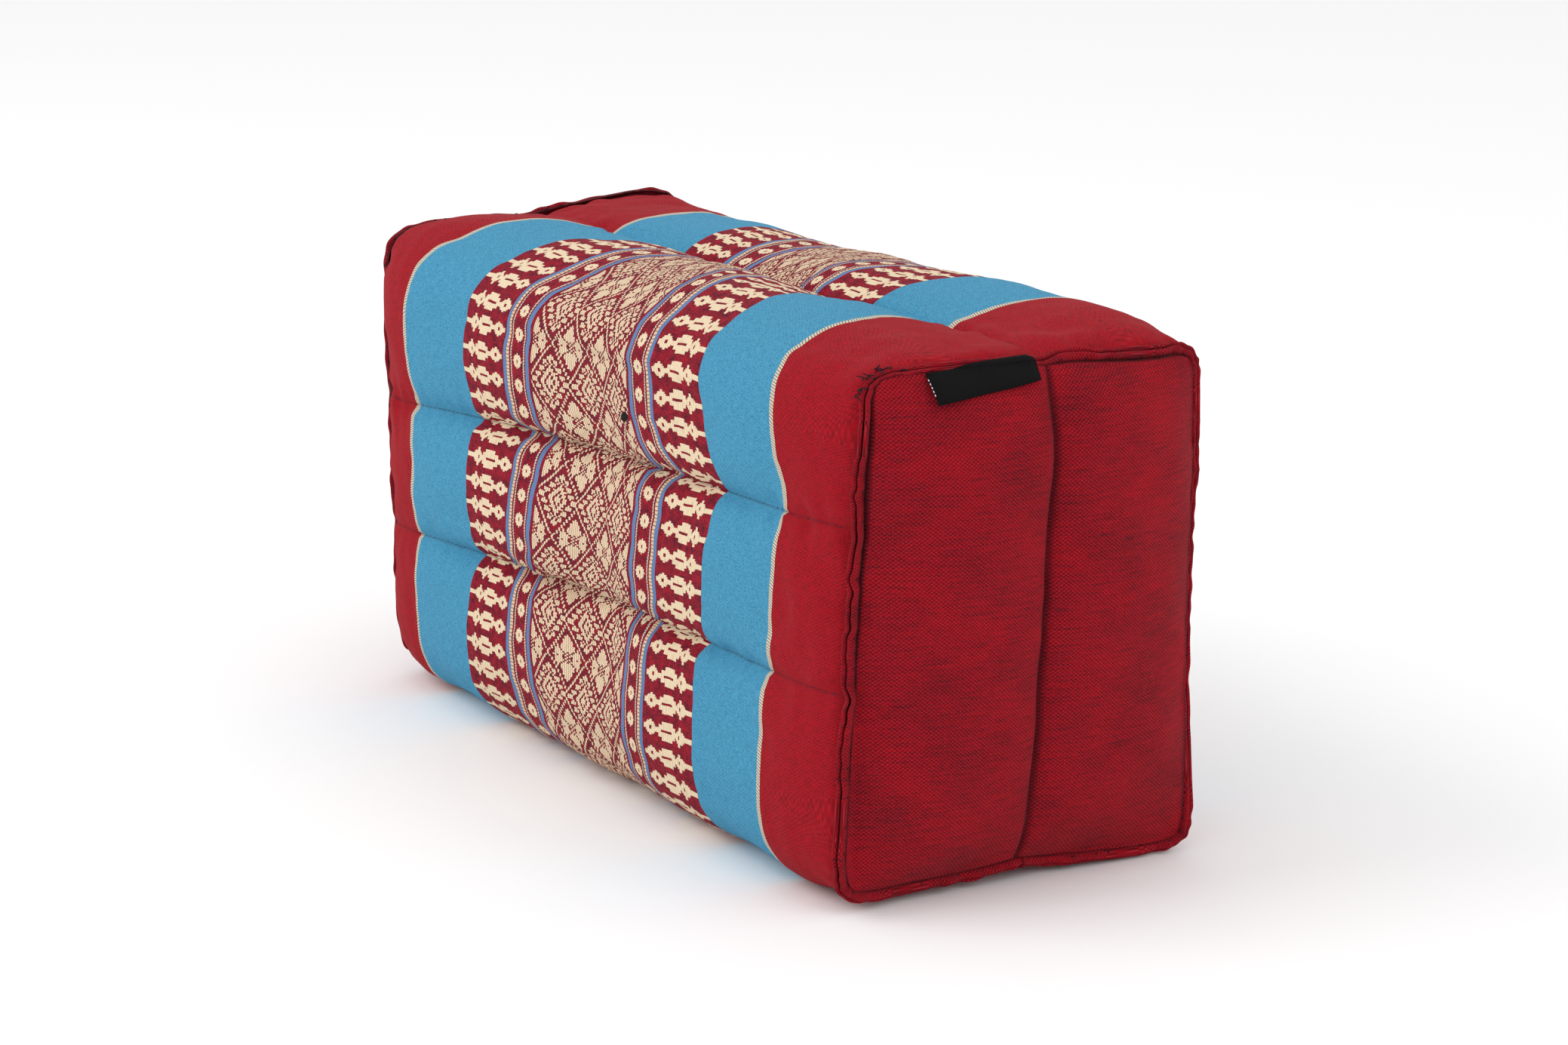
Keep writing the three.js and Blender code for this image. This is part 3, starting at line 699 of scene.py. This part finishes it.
def wrap_material():
    g = Graph("patterned_cloth")
    x0, r0 = g.attribute("cloth_x"), g.attribute("cloth_g")
    wander = g.noise(g.vector(g.mul(x0, 0.03), g.mul(r0, 0.03)), 5.0, 1.0)
    wander = g.sub(wander, 0.5)
    x = g.math("MULTIPLY_ADD", wander, 0.9, x0)
    r = g.math("MULTIPLY_ADD", wander, 0.9, r0)
    away = g.math("ABSOLUTE", x)

    # grounds: plain weave, whose threads show light and dark, with darker slubs
    streak = g.noise(g.vector(g.mul(x, 1.6), g.mul(r, 0.35)), 1.0, 2.0)
    blotch = g.noise(g.vector(g.mul(x, 0.3), g.mul(r, 0.3)), 1.0, 3.0, 0.65)
    cross = g.noise(g.vector(g.mul(x, 0.35), g.mul(r, 1.7)), 1.0, 2.0)
    fine = g.noise(g.vector(g.mul(x, 1.5), g.mul(r, 1.5)), 1.0, 2.0, 0.7)
    weave = g.mul(g.weave(x, r, 1.95, 1.2, g.mul(wander, 3.0)), g.ramp(fine, 0.25, 0.6))
    dark = g.total((streak, 0.35), (cross, 0.35), (fine, 0.3))
    red = g.mix(RED, RED_DARK, g.ramp(dark, 0.42, 0.68))
    red = g.tint(red, colour(186, 44, 56), weave, 0.15, 0.95, 0.4)
    red = g.tint(red, colour(96, 10, 20), weave, -0.15, -0.95, 0.5)
    speckle = g.total((fine, 0.5), (blotch, 0.5))
    brocade = g.mix(colour(160, 24, 42), colour(72, 18, 34), g.ramp(speckle, 0.4, 0.62))
    brocade = g.tint(brocade, colour(52, 10, 22), weave, -0.1, -0.9, 0.6)
    mottle = g.total((streak, 0.3), (cross, 0.3), (fine, 0.4))
    blue = g.mix(BLUE, BLUE_DARK, g.ramp(mottle, 0.42, 0.72))
    blue = g.tint(blue, colour(100, 168, 196), weave, 0.2, 0.95, 0.3)
    blue = g.tint(blue, colour(38, 92, 126), weave, -0.2, -0.95, 0.32)
    plain = g.mix(red, brocade, g.less(away, 82.0))
    plain = g.mix(plain, blue, g.near(away, 104.0, 22.0))

    # stripes
    weft = g.math("SINE", g.mul(r, 2 * math.pi / 1.3))
    twist = g.math("SINE", g.add(g.mul(r, 2 * math.pi / 0.95), g.mul(away, 2.6)))
    shade = g.ramp(twist, -1.0, 0.6)
    rope = g.mix(colour(124, 116, 104), colour(212, 202, 182), shade)
    cream_line = g.mix(colour(212, 190, 158), colour(150, 96, 84), g.ramp(weft, -0.2, -1.0))
    uneven = g.math("MULTIPLY_ADD", weft, 0.12, away)
    look = plain
    for place, middle, reach, shown in (
        (away, 34.4, 1.15, LINE_BLUE), (uneven, 36.75, 0.42, rope), (uneven, 46.0, 0.38, rope),
        (away, 48.35, 0.9, cream_line), (away, 50.4, 1.05, LINE_BLUE), (away, 126.0, 1.05, rope),
    ):
        look = g.mix(look, shown, g.near(place, middle, reach))

    # border motif and small flowers, which share their rows
    rows = g.math("ABSOLUTE", g.sub(g.math("FLOORED_MODULO", g.add(r, 2.5545), PITCH), PITCH / 2))
    rows = g.math("DIVIDE", rows, THREAD)
    cell = g.math("FLOOR", g.math("DIVIDE", g.sub(away, 52.5), CELL))
    inside = g.near(cell, 19.5, 20.0)
    block = g.math("FLOOR", g.math("DIVIDE", cell, 8.0))
    height = g.digit(g.sub(cell, g.mul(block, 8.0)), block, [BORDER[k:k + 8] for k in range(0, 40, 8)], 8)
    shown = g.mul(g.less(rows, g.math("MULTIPLY_ADD", height, 0.88, -0.5)), inside)
    slot = g.mul(g.near(cell, 18.5, 3.6), g.less(rows, 0.6))
    dots = g.mul(g.math("MAXIMUM", g.near(cell, 5.5, 0.6), g.near(cell, 29.0, 0.6)), g.less(rows, 0.9))
    motif = g.mul(shown, g.sub(1.0, g.math("MAXIMUM", slot, dots)))
    small_cell = g.math("FLOOR", g.add(g.math("DIVIDE", g.math("ABSOLUTE", g.sub(away, 41.3)), CELL), 0.5))
    small_height = g.digit(small_cell, g.mul(small_cell, 0.0), [SMALL], 8)
    small = g.less(rows, g.math("MULTIPLY_ADD", small_height, 0.9, -0.5))
    small = g.mul(small, g.less(small_cell, 4.5))
    small = g.mul(small, g.sub(1.0, g.mul(g.less(small_cell, 0.5), g.less(rows, 0.9))))
    motif = g.math("MAXIMUM", motif, small)

    # lozenge field
    slant = g.mul(g.math("SINE", g.mul(r, 2 * math.pi / 1.22)), 0.16)
    column = g.math("PINGPONG", g.add(g.add(x, slant), 10.5 + 42.0), 10.5)
    column = g.math("FLOOR", g.add(g.math("DIVIDE", column, FIELD_X), 0.5))
    row = g.math("PINGPONG", g.add(r, 7.0), 22 * FIELD_G)
    row = g.math("FLOOR", g.add(g.math("DIVIDE", row, FIELD_G), 0.5))
    pair = g.math("FLOOR", g.mul(row, 0.5))
    odd = g.sub(row, g.mul(pair, 2.0))
    marks = [line.replace("#", "1").replace(".", "0") for line in FIELD] + ["0" * 11]
    pairs = [marks[k] + marks[k + 1] for k in range(0, 24, 2)]
    field = g.digit(g.math("MULTIPLY_ADD", odd, 11.0, column), pair, pairs, 2)
    field = g.mul(field, g.less(away, 31.6))
    part_x = g.math("FRACT", g.add(g.math("DIVIDE", g.add(x, slant), FIELD_X), 0.5))
    gap = g.ramp(g.math("ABSOLUTE", g.sub(part_x, 0.5)), 0.3, 0.43)
    ground = g.mix(colour(148, 26, 42), colour(84, 30, 42), g.ramp(speckle, 0.38, 0.6))
    look = g.mix(look, ground, g.less(away, 31.6))
    worn = g.mix(CREAM, CREAM_DARK, g.ramp(streak, 0.5, 0.9))
    cream = g.math("MAXIMUM", motif, field)
    look = g.mix(look, worn, cream)
    hair = g.ramp(g.math("SINE", g.mul(away, 2 * math.pi / 1.1)), 0.75, 1.0)
    look = g.mix(look, colour(150, 110, 90), g.mul(g.mul(motif, hair), 0.45))
    look = g.mix(look, colour(132, 62, 56), g.mul(g.mul(field, gap), 0.8))

    # painted shade along the sewn lines, darkening the valleys between the channels
    seam = g.attribute("seam_mm")
    look = g.mix(look, colour(60, 20, 26), g.mul(g.sub(1.0, g.ramp(seam, 0.1, 1.0)), 0.25))
    spot_x, spot_r = g.sub(x0, SPOT[0]), g.sub(r0, SPOT[1])
    spot_r = g.mul(g.math("MULTIPLY_ADD", spot_x, -0.3, spot_r), 2.1)
    ragged = g.math("SQRT", g.add(g.mul(spot_x, spot_x), g.mul(spot_r, spot_r)))
    ragged = g.math("MULTIPLY_ADD", g.noise(g.vector(x0, r0), 1.1, 2.0), 1.6, ragged)
    look = g.mix(look, colour(20, 14, 16), g.sub(1.0, g.ramp(ragged, 4.0, 4.7)))
    height = g.add(g.mul(weave, 0.3), g.mul(cream, 0.8))
    return g.finish(look, height, 0.00018)


def red_material():
    g = Graph("red_end_cloth")
    x, r = g.attribute("cloth_x"), g.attribute("cloth_g")
    sway = g.sub(g.noise(g.vector(g.mul(x, 0.06), g.mul(r, 0.06)), 1.0, 1.0), 0.5)
    slub = g.noise(g.vector(g.mul(x, 0.09), g.mul(r, 1.5)), 1.0, 2.0, 0.6)
    streak = g.noise(g.vector(g.mul(x, 1.9), g.mul(r, 0.25)), 1.0, 2.0)
    fine = g.noise(g.vector(g.mul(x, 1.4), g.mul(r, 1.4)), 1.0, 2.0, 0.7)
    broad = g.noise(g.vector(g.mul(x, 0.04), g.mul(r, 0.05)), 1.0, 3.0)
    dark = g.total((slub, 0.3), (streak, 0.15), (broad, 0.25), (fine, 0.3))
    look = g.mix(colour(154, 8, 24), colour(84, 8, 20), g.ramp(dark, 0.42, 0.64))
    look = g.tint(look, colour(62, 16, 26), slub, 0.62, 0.74, 0.45)
    weave = g.mul(g.weave(x, r, 1.41, 1.22, g.mul(sway, 6.0)), g.ramp(fine, 0.2, 0.62))
    look = g.tint(look, colour(190, 66, 80), weave, 0.2, 0.85, 0.42)
    look = g.tint(look, colour(48, 6, 16), weave, -0.1, -0.85, 0.7)
    edge = g.attribute("seam_mm")
    # painted shade: darker in the grooves along the panel's edges, down its middle crease and at the feet of
    # the folded edges
    look = g.mix(look, colour(30, 8, 16), g.mul(g.sub(1.0, g.ramp(edge, 0.3, 2.4)), 0.82))
    return g.finish(look, weave, 0.0001)


def plain_material(name, main, dark, roughness=0.85):
    g = Graph(name)
    node = g.tree.nodes.new("ShaderNodeTexCoord")
    flecks = g.noise(node.outputs["Object"], 900.0, 2.0)
    return g.finish(g.mix(main, dark, g.ramp(flecks, 0.35, 0.75)), None, roughness=roughness)


# The ends
def end_place(across, up, end):
    """(y, z) inside an end's outline, from two shares of 0 to 1."""
    x = np.full(np.broadcast(across, up).shape, end * SEAM_X)
    across, up = np.broadcast_arrays(across, up)
    top_steps, side_steps = 14, 22

    def at(step):
        return np.stack(outline(step + 0 * across, x), -1)

    side = at(top_steps / 2 + up * side_steps)
    back = at(GIRTH - top_steps / 2 - up * side_steps)
    bottom = at(top_steps / 2 - across * top_steps)
    top = at(top_steps / 2 + side_steps + across * top_steps)
    a, u = across[..., None], up[..., None]
    mixed = side * (1 - a) + back * a + bottom * (1 - u) + top * u
    mixed -= at(top_steps / 2) * (1 - a) * (1 - u) + at(top_steps / 2 + side_steps) * (1 - a) * u
    mixed -= at(HALF + top_steps / 2) * a * u + at(GIRTH - top_steps / 2) * a * (1 - u)
    return mixed


def end_crown(y, z):
    """How far an end panel bulges at a place, less the valley down its middle."""
    across = np.clip(np.abs(y) / BOW_HALF_WIDTH, 0, 1)
    up = np.clip(np.abs(2 * (z - CROWN_FOOT) / (CROWN_TOP - CROWN_FOOT) - 1), 0, 1)
    rise = (1 - across**4) * (1 - up**6)
    dip = VALLEY * np.exp(-((np.abs(y) / 9.0) ** 1.5)) + CREASE * np.exp(-np.abs(y) / 1.7)
    return rise * (CROWN - dip)


def make_panel(name, end, material, node):
    n_across, n_up = 96, 110
    across = np.linspace(-1, 1, n_across + 1)[:, None]
    across = 0.5 + 0.5 * (0.35 * across + 0.65 * np.sign(across) * np.abs(across) ** 1.8)
    up = np.linspace(0, 1, n_up + 1)[None, :]
    place = end_place(across, up, end)
    y, z = place[..., 0], place[..., 1]
    inside = np.clip(np.minimum(np.minimum(across, 1 - across), np.minimum(up, 1 - up)) * GIRTH, 0, 1)
    sway = inside * (1 - np.abs(2 * across - 1)) * (-3 + 4.5 * up)
    edge = np.minimum(np.minimum(across, 1 - across) * 120, np.minimum(up, 1 - up) * 165)
    rng = np.random.default_rng(5 + end)
    lift = 0.55 * waves(y, z, 10, 26, 70, rng) * smooth(edge / 12)
    lift += 0.45 * waves(z, 0.3 * y, 8, 9, 22, rng) * np.exp(-((edge / 8) ** 1.3)) * smooth(edge / 1.5)
    beside_valley = np.exp(-((np.abs(y) / 8) ** 1.4)) * smooth(np.abs(y) / 1.5)
    lift += 0.35 * waves(z, 0.4 * y, 8, 10, 26, rng) * beside_valley
    crease = 0.5 * np.exp(-np.abs(y) / 0.9) * smooth(edge / 4)
    x = SEAM_X + PANEL_OFFSET + seam_bow(y, z) + inside * end_crown(y, z) + lift - crease
    points = np.stack([end * x, y + sway, z], -1)
    # the red cloth's painted shade follows this: the groove round the panel, deeper at its back edge, and the
    # middle crease
    shade = np.minimum(edge, (1 - across) * 34)
    values = {"cloth_x": y, "cloth_g": z, "seam_mm": np.minimum(shade, np.abs(y) + 0.5)}
    faces = grid_faces(n_across + 1, n_up + 1, flip=end < 0)
    obj = mesh_object(name, points.reshape(-1, 3), faces, values)
    return put(obj, material, "red_end_cloth", node)


# Points along a folded edge, and its profile: share of its height, and mm from the middle of the seam
EDGE_POINTS = 900
LIP_RINGS = [
    (-0.25, 2.0), (0.05, 1.75), (0.35, 1.65), (0.65, 1.7), (0.86, 1.6), (0.98, 1.25),
    (1.0, 0.85), (0.95, 0.45), (0.8, 0.22), (0.4, 0.12), (0.0, 0.08),
]


def pressed_share(y, z, end):
    """Share of a folded edge's height left where the tag is sewn in."""
    if end < 0:
        return np.ones_like(y)
    inside = smooth((y + 60) / 6) * smooth((8 - y) / 8) * (z > 85)
    return 1 - inside * (1 - (0.3 + 0.15 * np.clip((y + 54) / 54, 0, 1)))


def edge_frame(step, end):
    """Where a folded edge starts, its height, its sideways wander, and the directions along and across it."""
    x_end = np.full(step.shape, end * SEAM_X)
    y, z = outline(step, x_end)
    out = outward_direction(step, x_end)
    turn = step / GIRTH * 2 * math.pi
    ripple = np.sin(turn * 17) + 0.6 * np.sin(turn * 11 + 1) + 0.5 * np.sin(turn * 41 + 2)
    rng = np.random.default_rng(23 + end)
    small = waves(turn * 90, 0 * turn, 7, 6, 15, rng)
    pressed = pressed_share(y, z, end)
    side = EDGE_SIDE - EDGE_BACK_LESS * np.clip(np.maximum(out[:, 0], -out[:, 1]), 0, 1)
    full = side + (EDGE_TOP - side) * np.clip(out[:, 1], 0, 1) if end > 0 else EDGE_FAR
    height = pressed * full * (1 + 0.06 * ripple + 0.07 * small)
    pinch = sum(np.exp(-(((step - s) / 0.35) ** 2)) for s in SEAM_STEPS)
    height = height * (1 + 0.22 * pinch)
    wander = pressed * (0.5 * ripple + 0.45 * small + 0.9 * pinch)
    if end > 0:
        tilt = EDGE_TILT + EDGE_TILT_BACK * np.clip(out[:, 0], 0, 1)
    else:
        tilt = EDGE_TILT_FAR + 0 * turn
    flat = np.stack([0 * y, out[:, 0], out[:, 1]], -1)
    axis = np.array([end, 0.0, 0.0])
    along = np.cos(tilt)[:, None] * flat + np.sin(tilt)[:, None] * axis
    across = np.cos(tilt)[:, None] * axis - np.sin(tilt)[:, None] * flat
    base = np.stack([end * (SEAM_X + seam_bow(y, z)), y, z], -1)
    return base, height, wander, along, across


def make_edge(name, end, outer, material, slot_name):
    """A folded edge that stands up round an end: outer is the panel's, and the other is the wrap's."""
    step = np.linspace(0, GIRTH, EDGE_POINTS, endpoint=False)
    base, height, wander, along, across = edge_frame(step, end)
    rng = np.random.default_rng(31 + end + 2 * outer)
    own = 1 + 0.05 * waves(step * 7.5, 0 * step, 6, 5, 12, rng)
    rings = LIP_RINGS if outer else [(rise, -side) for rise, side in LIP_RINGS[::-1]]
    rows = []
    for rise, side in rings:
        r = max(rise, 0)
        place = base + along * (height * own * rise)[:, None] + across * (side + wander * r)[:, None]
        place[:, 2] = np.maximum(place[:, 2], FLOOR_LEVEL + 0.3)
        rows.append(place)
    points = np.stack(rows, 1)
    profile = np.linalg.norm(np.diff(points, axis=1), axis=-1).mean(0)
    # seam_mm here sets the red cloth's painted shade, darker towards each folded edge's foot
    values = {
        "cloth_x": np.broadcast_to(np.concatenate([[0], np.cumsum(profile)])[None, :], points.shape[:2]),
        "cloth_g": np.broadcast_to((step * 8.6)[:, None], points.shape[:2]),
        "seam_mm": np.broadcast_to(np.array([max(r, 0) * 4 for r, _ in rings])[None, :], points.shape[:2]),
    }
    faces = grid_faces(EDGE_POINTS, len(rings), True, flip=end > 0)
    obj = mesh_object(name, points.reshape(-1, 3), faces, values)
    put(obj, material, slot_name)
    return obj, points


def stitch_mesh(name, paths, radius, material, slot_name, sides=6):
    """Short threads, each a run of points with a radius, joined into one mesh."""
    all_points, all_faces, base = [], [], 0
    for path in paths:
        path = np.asarray(path, float)
        n = len(path)
        tangent = np.gradient(path, axis=0)
        tangent /= np.maximum(np.linalg.norm(tangent, axis=1, keepdims=True), 1e-9)
        helper = np.where(np.abs(tangent[:, 2:3]) > 0.9, [[1.0, 0, 0]], [[0, 0, 1.0]])
        a = np.cross(tangent, helper)
        a /= np.linalg.norm(a, axis=1, keepdims=True)
        b = np.cross(tangent, a)
        angle = np.arange(sides) / sides * 2 * math.pi
        taper = np.sqrt(np.clip(1 - (np.linspace(-1, 1, n) * 0.93) ** 4, 0.05, 1))[:, None, None]
        ring = a[:, None] * np.cos(angle)[None, :, None] + b[:, None] * np.sin(angle)[None, :, None]
        points = path[:, None] + ring * radius * taper
        all_points.append(points.reshape(-1, 3))
        for i in range(n - 1):
            for j in range(sides):
                k = (j + 1) % sides
                low, high = base + i * sides, base + (i + 1) * sides
                all_faces.append([low + j, low + k, high + k, high + j])
        all_faces.append([base + j for j in range(sides)][::-1])
        all_faces.append([base + (n - 1) * sides + j for j in range(sides)])
        base += n * sides
    return put(mesh_object(name, np.concatenate(all_points), all_faces), material, slot_name)


def make_tag(material):
    """The bare folded tag, sewn in at the folded edge of the near end's top seam and lying down the panel."""
    n_along, n_down = 56, 30
    a = np.linspace(0, 1, n_along + 1)[:, None] + np.zeros((1, n_down + 1))
    d = np.linspace(0, 1, n_down + 1)[None, :] + np.zeros((n_along + 1, 1))
    y = TAG_LEFT + TAG_WIDTH * a
    lip_face = SEAM_X + seam_bow(y, 0 * y + TAG_RIDGE) + 3.1
    turned = 1 - a + a * np.clip(d / TAG_TURN, 0, 1)
    hang = (1 - a) * d + a * np.clip((d - TAG_TURN) / (1 - TAG_TURN), 0, 1)
    angle = TAG_SLOPE * turned
    z = TAG_RIDGE - TAG_BEND * (1 - np.cos(angle)) - hang * (TAG_DROP - TAG_DROP_LESS * a)
    start = lip_face + 0.4 + TAG_BEND * (np.sin(angle) - math.sin(TAG_SLOPE))
    face_x = SEAM_X + seam_bow(y, z) + end_crown(y, z) + 2.2
    rest = face_x + 0.9 + 1.2 * hang * (1 - a)
    x = np.where(hang > 0, np.maximum(start, rest), start)
    x = x + 0.35 * np.sin(a * 8 + 1) * d + 1.3 * d * (1 - a) ** 6
    place = np.stack([x, y, z], -1)
    a, d = a[..., None], d[..., None]
    down_way, along_way = np.gradient(place, axis=1), np.gradient(place, axis=0)
    face = np.cross(along_way, down_way)
    face /= np.linalg.norm(face, axis=-1, keepdims=True)
    if face[..., 0].mean() < 0:
        face = -face
    round_off = smooth(np.minimum(a, 1 - a) * 14) * smooth((1 - d) * 9)
    layers = [place, place + face * (0.35 + (TAG_THICKNESS - 0.35) * round_off)]
    shape = layers[0].shape
    points = np.concatenate([layers[1].reshape(-1, 3), layers[0].reshape(-1, 3)])
    front = grid_faces(shape[0], shape[1])
    count = shape[0] * shape[1]
    faces = [list(f) for f in front] + [list(f[::-1] + count) for f in front]
    index = np.arange(count).reshape(shape[:2])
    rim = list(index[:, 0]) + list(index[-1, 1:]) + list(index[-2::-1, -1]) + list(index[0, -2:0:-1])
    for p, q in zip(rim, rim[1:] + rim[:1]):
        faces.append([p, q, q + count, p + count])
    values = {
        "cloth_x": np.concatenate([(a * 38 + 0 * d).ravel()] * 2),
        "cloth_g": np.concatenate([(d * 11 + 0 * a).ravel()] * 2),
    }
    obj = mesh_object("tag", points, faces, values)
    put(obj, material, "black_tape", "label_tag")
    return obj, layers[1]


def tape_material():
    g = Graph("black_tape")
    x, r = g.attribute("cloth_x"), g.attribute("cloth_g")
    rib = g.math("SINE", g.mul(r, 2 * math.pi / 0.7))
    fine = g.math("SINE", g.mul(x, 2 * math.pi / 0.8))
    look = g.mix(colour(4, 4, 5), colour(17, 17, 20), g.ramp(g.mul(rib, fine), -0.2, 1.0))
    return g.finish(look, g.mul(rib, fine), 0.00012, roughness=0.8, sheen=0.0)


wrap_cloth = wrap_material()
red_cloth = red_material()
black_tape = tape_material()
dark_thread = plain_material("dark_thread", colour(26, 20, 26), colour(46, 30, 38))
blue_thread = plain_material("navy_thread", colour(24, 44, 74), colour(18, 26, 46))
white_thread = plain_material("white_thread", colour(225, 225, 228), colour(180, 180, 190))

cushion, wrap_points, wrap_steps, wrap_normal = make_wrap()
put(cushion, wrap_cloth, "patterned_wrap", "cushion_body")

edges = {}
for end, word in ((1, "near"), (-1, "far")):
    panel = make_panel("panel_" + word, end, red_cloth, "end_panel_" + word)
    edge, edge_points = make_edge("panel_edge_" + word, end, True, red_cloth, "red_end_cloth")
    edges[end, True] = edge_points
    _, edges[end, False] = make_edge("wrap_edge_" + word, end, False, red_cloth, "patterned_wrap")

tag, tag_face = make_tag(black_tape)

# Running stitches along the folded edges, low on the wrap's side and higher up on both sides:
# whether on the panel's side, share of the height, spacing, length and share that shows
STITCH_LINES = ((False, 0.2, 3.3, 2.4, 0.9), (False, 0.62, 4.4, 1.5, 0.5), (True, 0.6, 4.6, 1.3, 0.5))
for end, word in ((1, "near"), (-1, "far")):
    paths = []
    for outer, rise, gap, long, share in STITCH_LINES:
        step = np.linspace(0, GIRTH, EDGE_POINTS, endpoint=False)
        base, height, wander, along, across = edge_frame(step, end)
        side = 1.72 if outer else -1.72
        line = base + along * (height * rise)[:, None] + across * (side + wander * rise)[:, None]
        out = across * (1 if outer else -1)
        length = run_length(line)
        for p in np.arange(0, length[-1] - 3, gap):
            if RNG.uniform() > (share if end > 0 else 0.5 * share):
                continue
            p = p + RNG.uniform(-0.4, 0.4)
            span = np.linspace(p, p + long * RNG.uniform(0.8, 1.2), 5)
            rise_off = np.array([-0.2, 0.02, 0.08, 0.02, -0.2])[:, None]
            paths.append(cut(line, length, span) + cut(out, length, span) * rise_off)
    stitch_mesh("edge_stitches_" + word, paths, 0.19, dark_thread, "red_end_cloth")

# Knots and stray thread ends where the seams cross at the near end's top front corner
corner = edges[1, False].reshape(-1, 3)
corner = corner[(corner[:, 1] < -47) & (corner[:, 2] > 158)]
paths = []
for k in range(26):
    start = corner[RNG.integers(len(corner))]
    away = np.array([-1.0, -0.25, 0.25]) if k % 2 else np.array([0.3, 1.0, 0.1])
    away = away + RNG.normal(0, 0.45, 3)
    away /= np.linalg.norm(away)
    run = np.linspace(-0.5, RNG.uniform(1.2, 4.2), 7)[:, None]
    bend = np.sin(np.linspace(0, math.pi, 7))[:, None] * np.array([0.25, -0.5, 0.5])
    paths.append(start + away * run + bend + np.array([0.1, -0.25, 0.25]))
stitch_mesh("corner_threads", paths, 0.2, dark_thread, "patterned_wrap")

# Stitches in the sewn lines, which show on the plain cloth
paths = []
for seam_step in SEAM_STEPS + (0,):
    row = int(np.argmin(np.abs(wrap_steps[:, 0] - seam_step)))
    line = wrap_points[row]
    length = run_length(line)
    for p in np.arange(5, length[-1] - 5, 3.1):
        p = p + RNG.uniform(-0.35, 0.35)
        x_here = float(np.interp(p, length, line[:, 0]))
        if abs(x_here) < 84 or seam_step in (HALF, 0):
            continue
        span = np.linspace(p, p + RNG.uniform(1.3, 2.0), 5)
        rise_off = np.array([-0.3, -0.08, 0.0, -0.08, -0.3])[:, None]
        paths.append(cut(line, length, span) + cut(wrap_normal[row], length, span) * rise_off)
stitch_mesh("valley_stitches", paths, 0.15, blue_thread, "patterned_wrap")

# White thread along the tag's folded left edge
paths = []
for k in range(5):
    a = 6 + 3.4 * k
    rows = np.linspace(a, a + 2.0, 4)
    paths.append(cut(tag_face[0], np.arange(tag_face.shape[1]), rows) + np.array([0.1, -0.12, 0.0]))
stitch_mesh("tag_threads", paths, 0.16, white_thread, "black_tape")

# Camera, light and floor
AZIMUTH, ELEVATION, ROLL = math.radians(59.736), math.radians(13.396), math.radians(-0.187)
AIM_HEIGHT, DISTANCE, PHOTO_WIDTH = 82.8, 1380, 2078
back = Vector((
    math.sin(AZIMUTH) * math.cos(ELEVATION),
    -math.cos(AZIMUTH) * math.cos(ELEVATION),
    math.sin(ELEVATION),
))
right = Vector((math.cos(AZIMUTH), math.sin(AZIMUTH), 0))
up = back.cross(right)
right, up = (
    right * math.cos(ROLL) + up * math.sin(ROLL),
    up * math.cos(ROLL) - right * math.sin(ROLL),
)
camera_data = bpy.data.cameras.new("camera")
camera = new_object("camera", camera_data)
camera_data.sensor_width = 36
camera_data.lens = 92.5
camera_data.shift_x = 31.327 / PHOTO_WIDTH
camera_data.shift_y = 9.523 / PHOTO_WIDTH
place = (Vector((0, 0, AIM_HEIGHT)) + back * DISTANCE) * MM + Vector([float(s) * MM for s in SHIFT])
matrix = Matrix((right, up, back)).transposed().to_4x4()
matrix.translation = place
camera.matrix_world = matrix
bpy.context.scene.camera = camera

floor_mesh = bpy.data.meshes.new("floor")
floor_mesh.from_pydata([(-4, -4, 0), (4, -4, 0), (4, 4, 0), (-4, 4, 0)], [], [(0, 1, 2, 3)])
floor = new_object("floor", floor_mesh)
floor_look = bpy.data.materials.new("pale_floor")
floor_look.use_nodes = True
floor_shader = floor_look.node_tree.nodes["Principled BSDF"]
floor_shader.inputs["Base Color"].default_value = (0.97, 0.97, 0.97, 1)
floor_shader.inputs["Roughness"].default_value = 0.9
floor_mesh.materials.append(floor_look)

world = bpy.data.worlds.new("studio")
bpy.context.scene.world = world
world.use_nodes = True
sky = world.node_tree.nodes["Background"]
sky.inputs["Color"].default_value = (1, 1, 1, 1)
sky.inputs["Strength"].default_value = 0.92


def area_light(name, spot, aim, size, power):
    data = bpy.data.lights.new(name, "AREA")
    data.size, data.energy = size, power
    lamp = new_object(name, data)
    lamp.location = spot
    lamp.rotation_euler = (Vector(aim) - Vector(spot)).to_track_quat("-Z", "Y").to_euler()
    return lamp


key = area_light("key_light", (-0.7, -1.5, 1.5), (0, 0, 0.08), 1.4, 15)
fill = area_light("fill_light", (1.8, 0.5, 1.2), (0, 0, 0.08), 1.2, 6)

bpy.context.scene.view_settings.view_transform = "Standard"
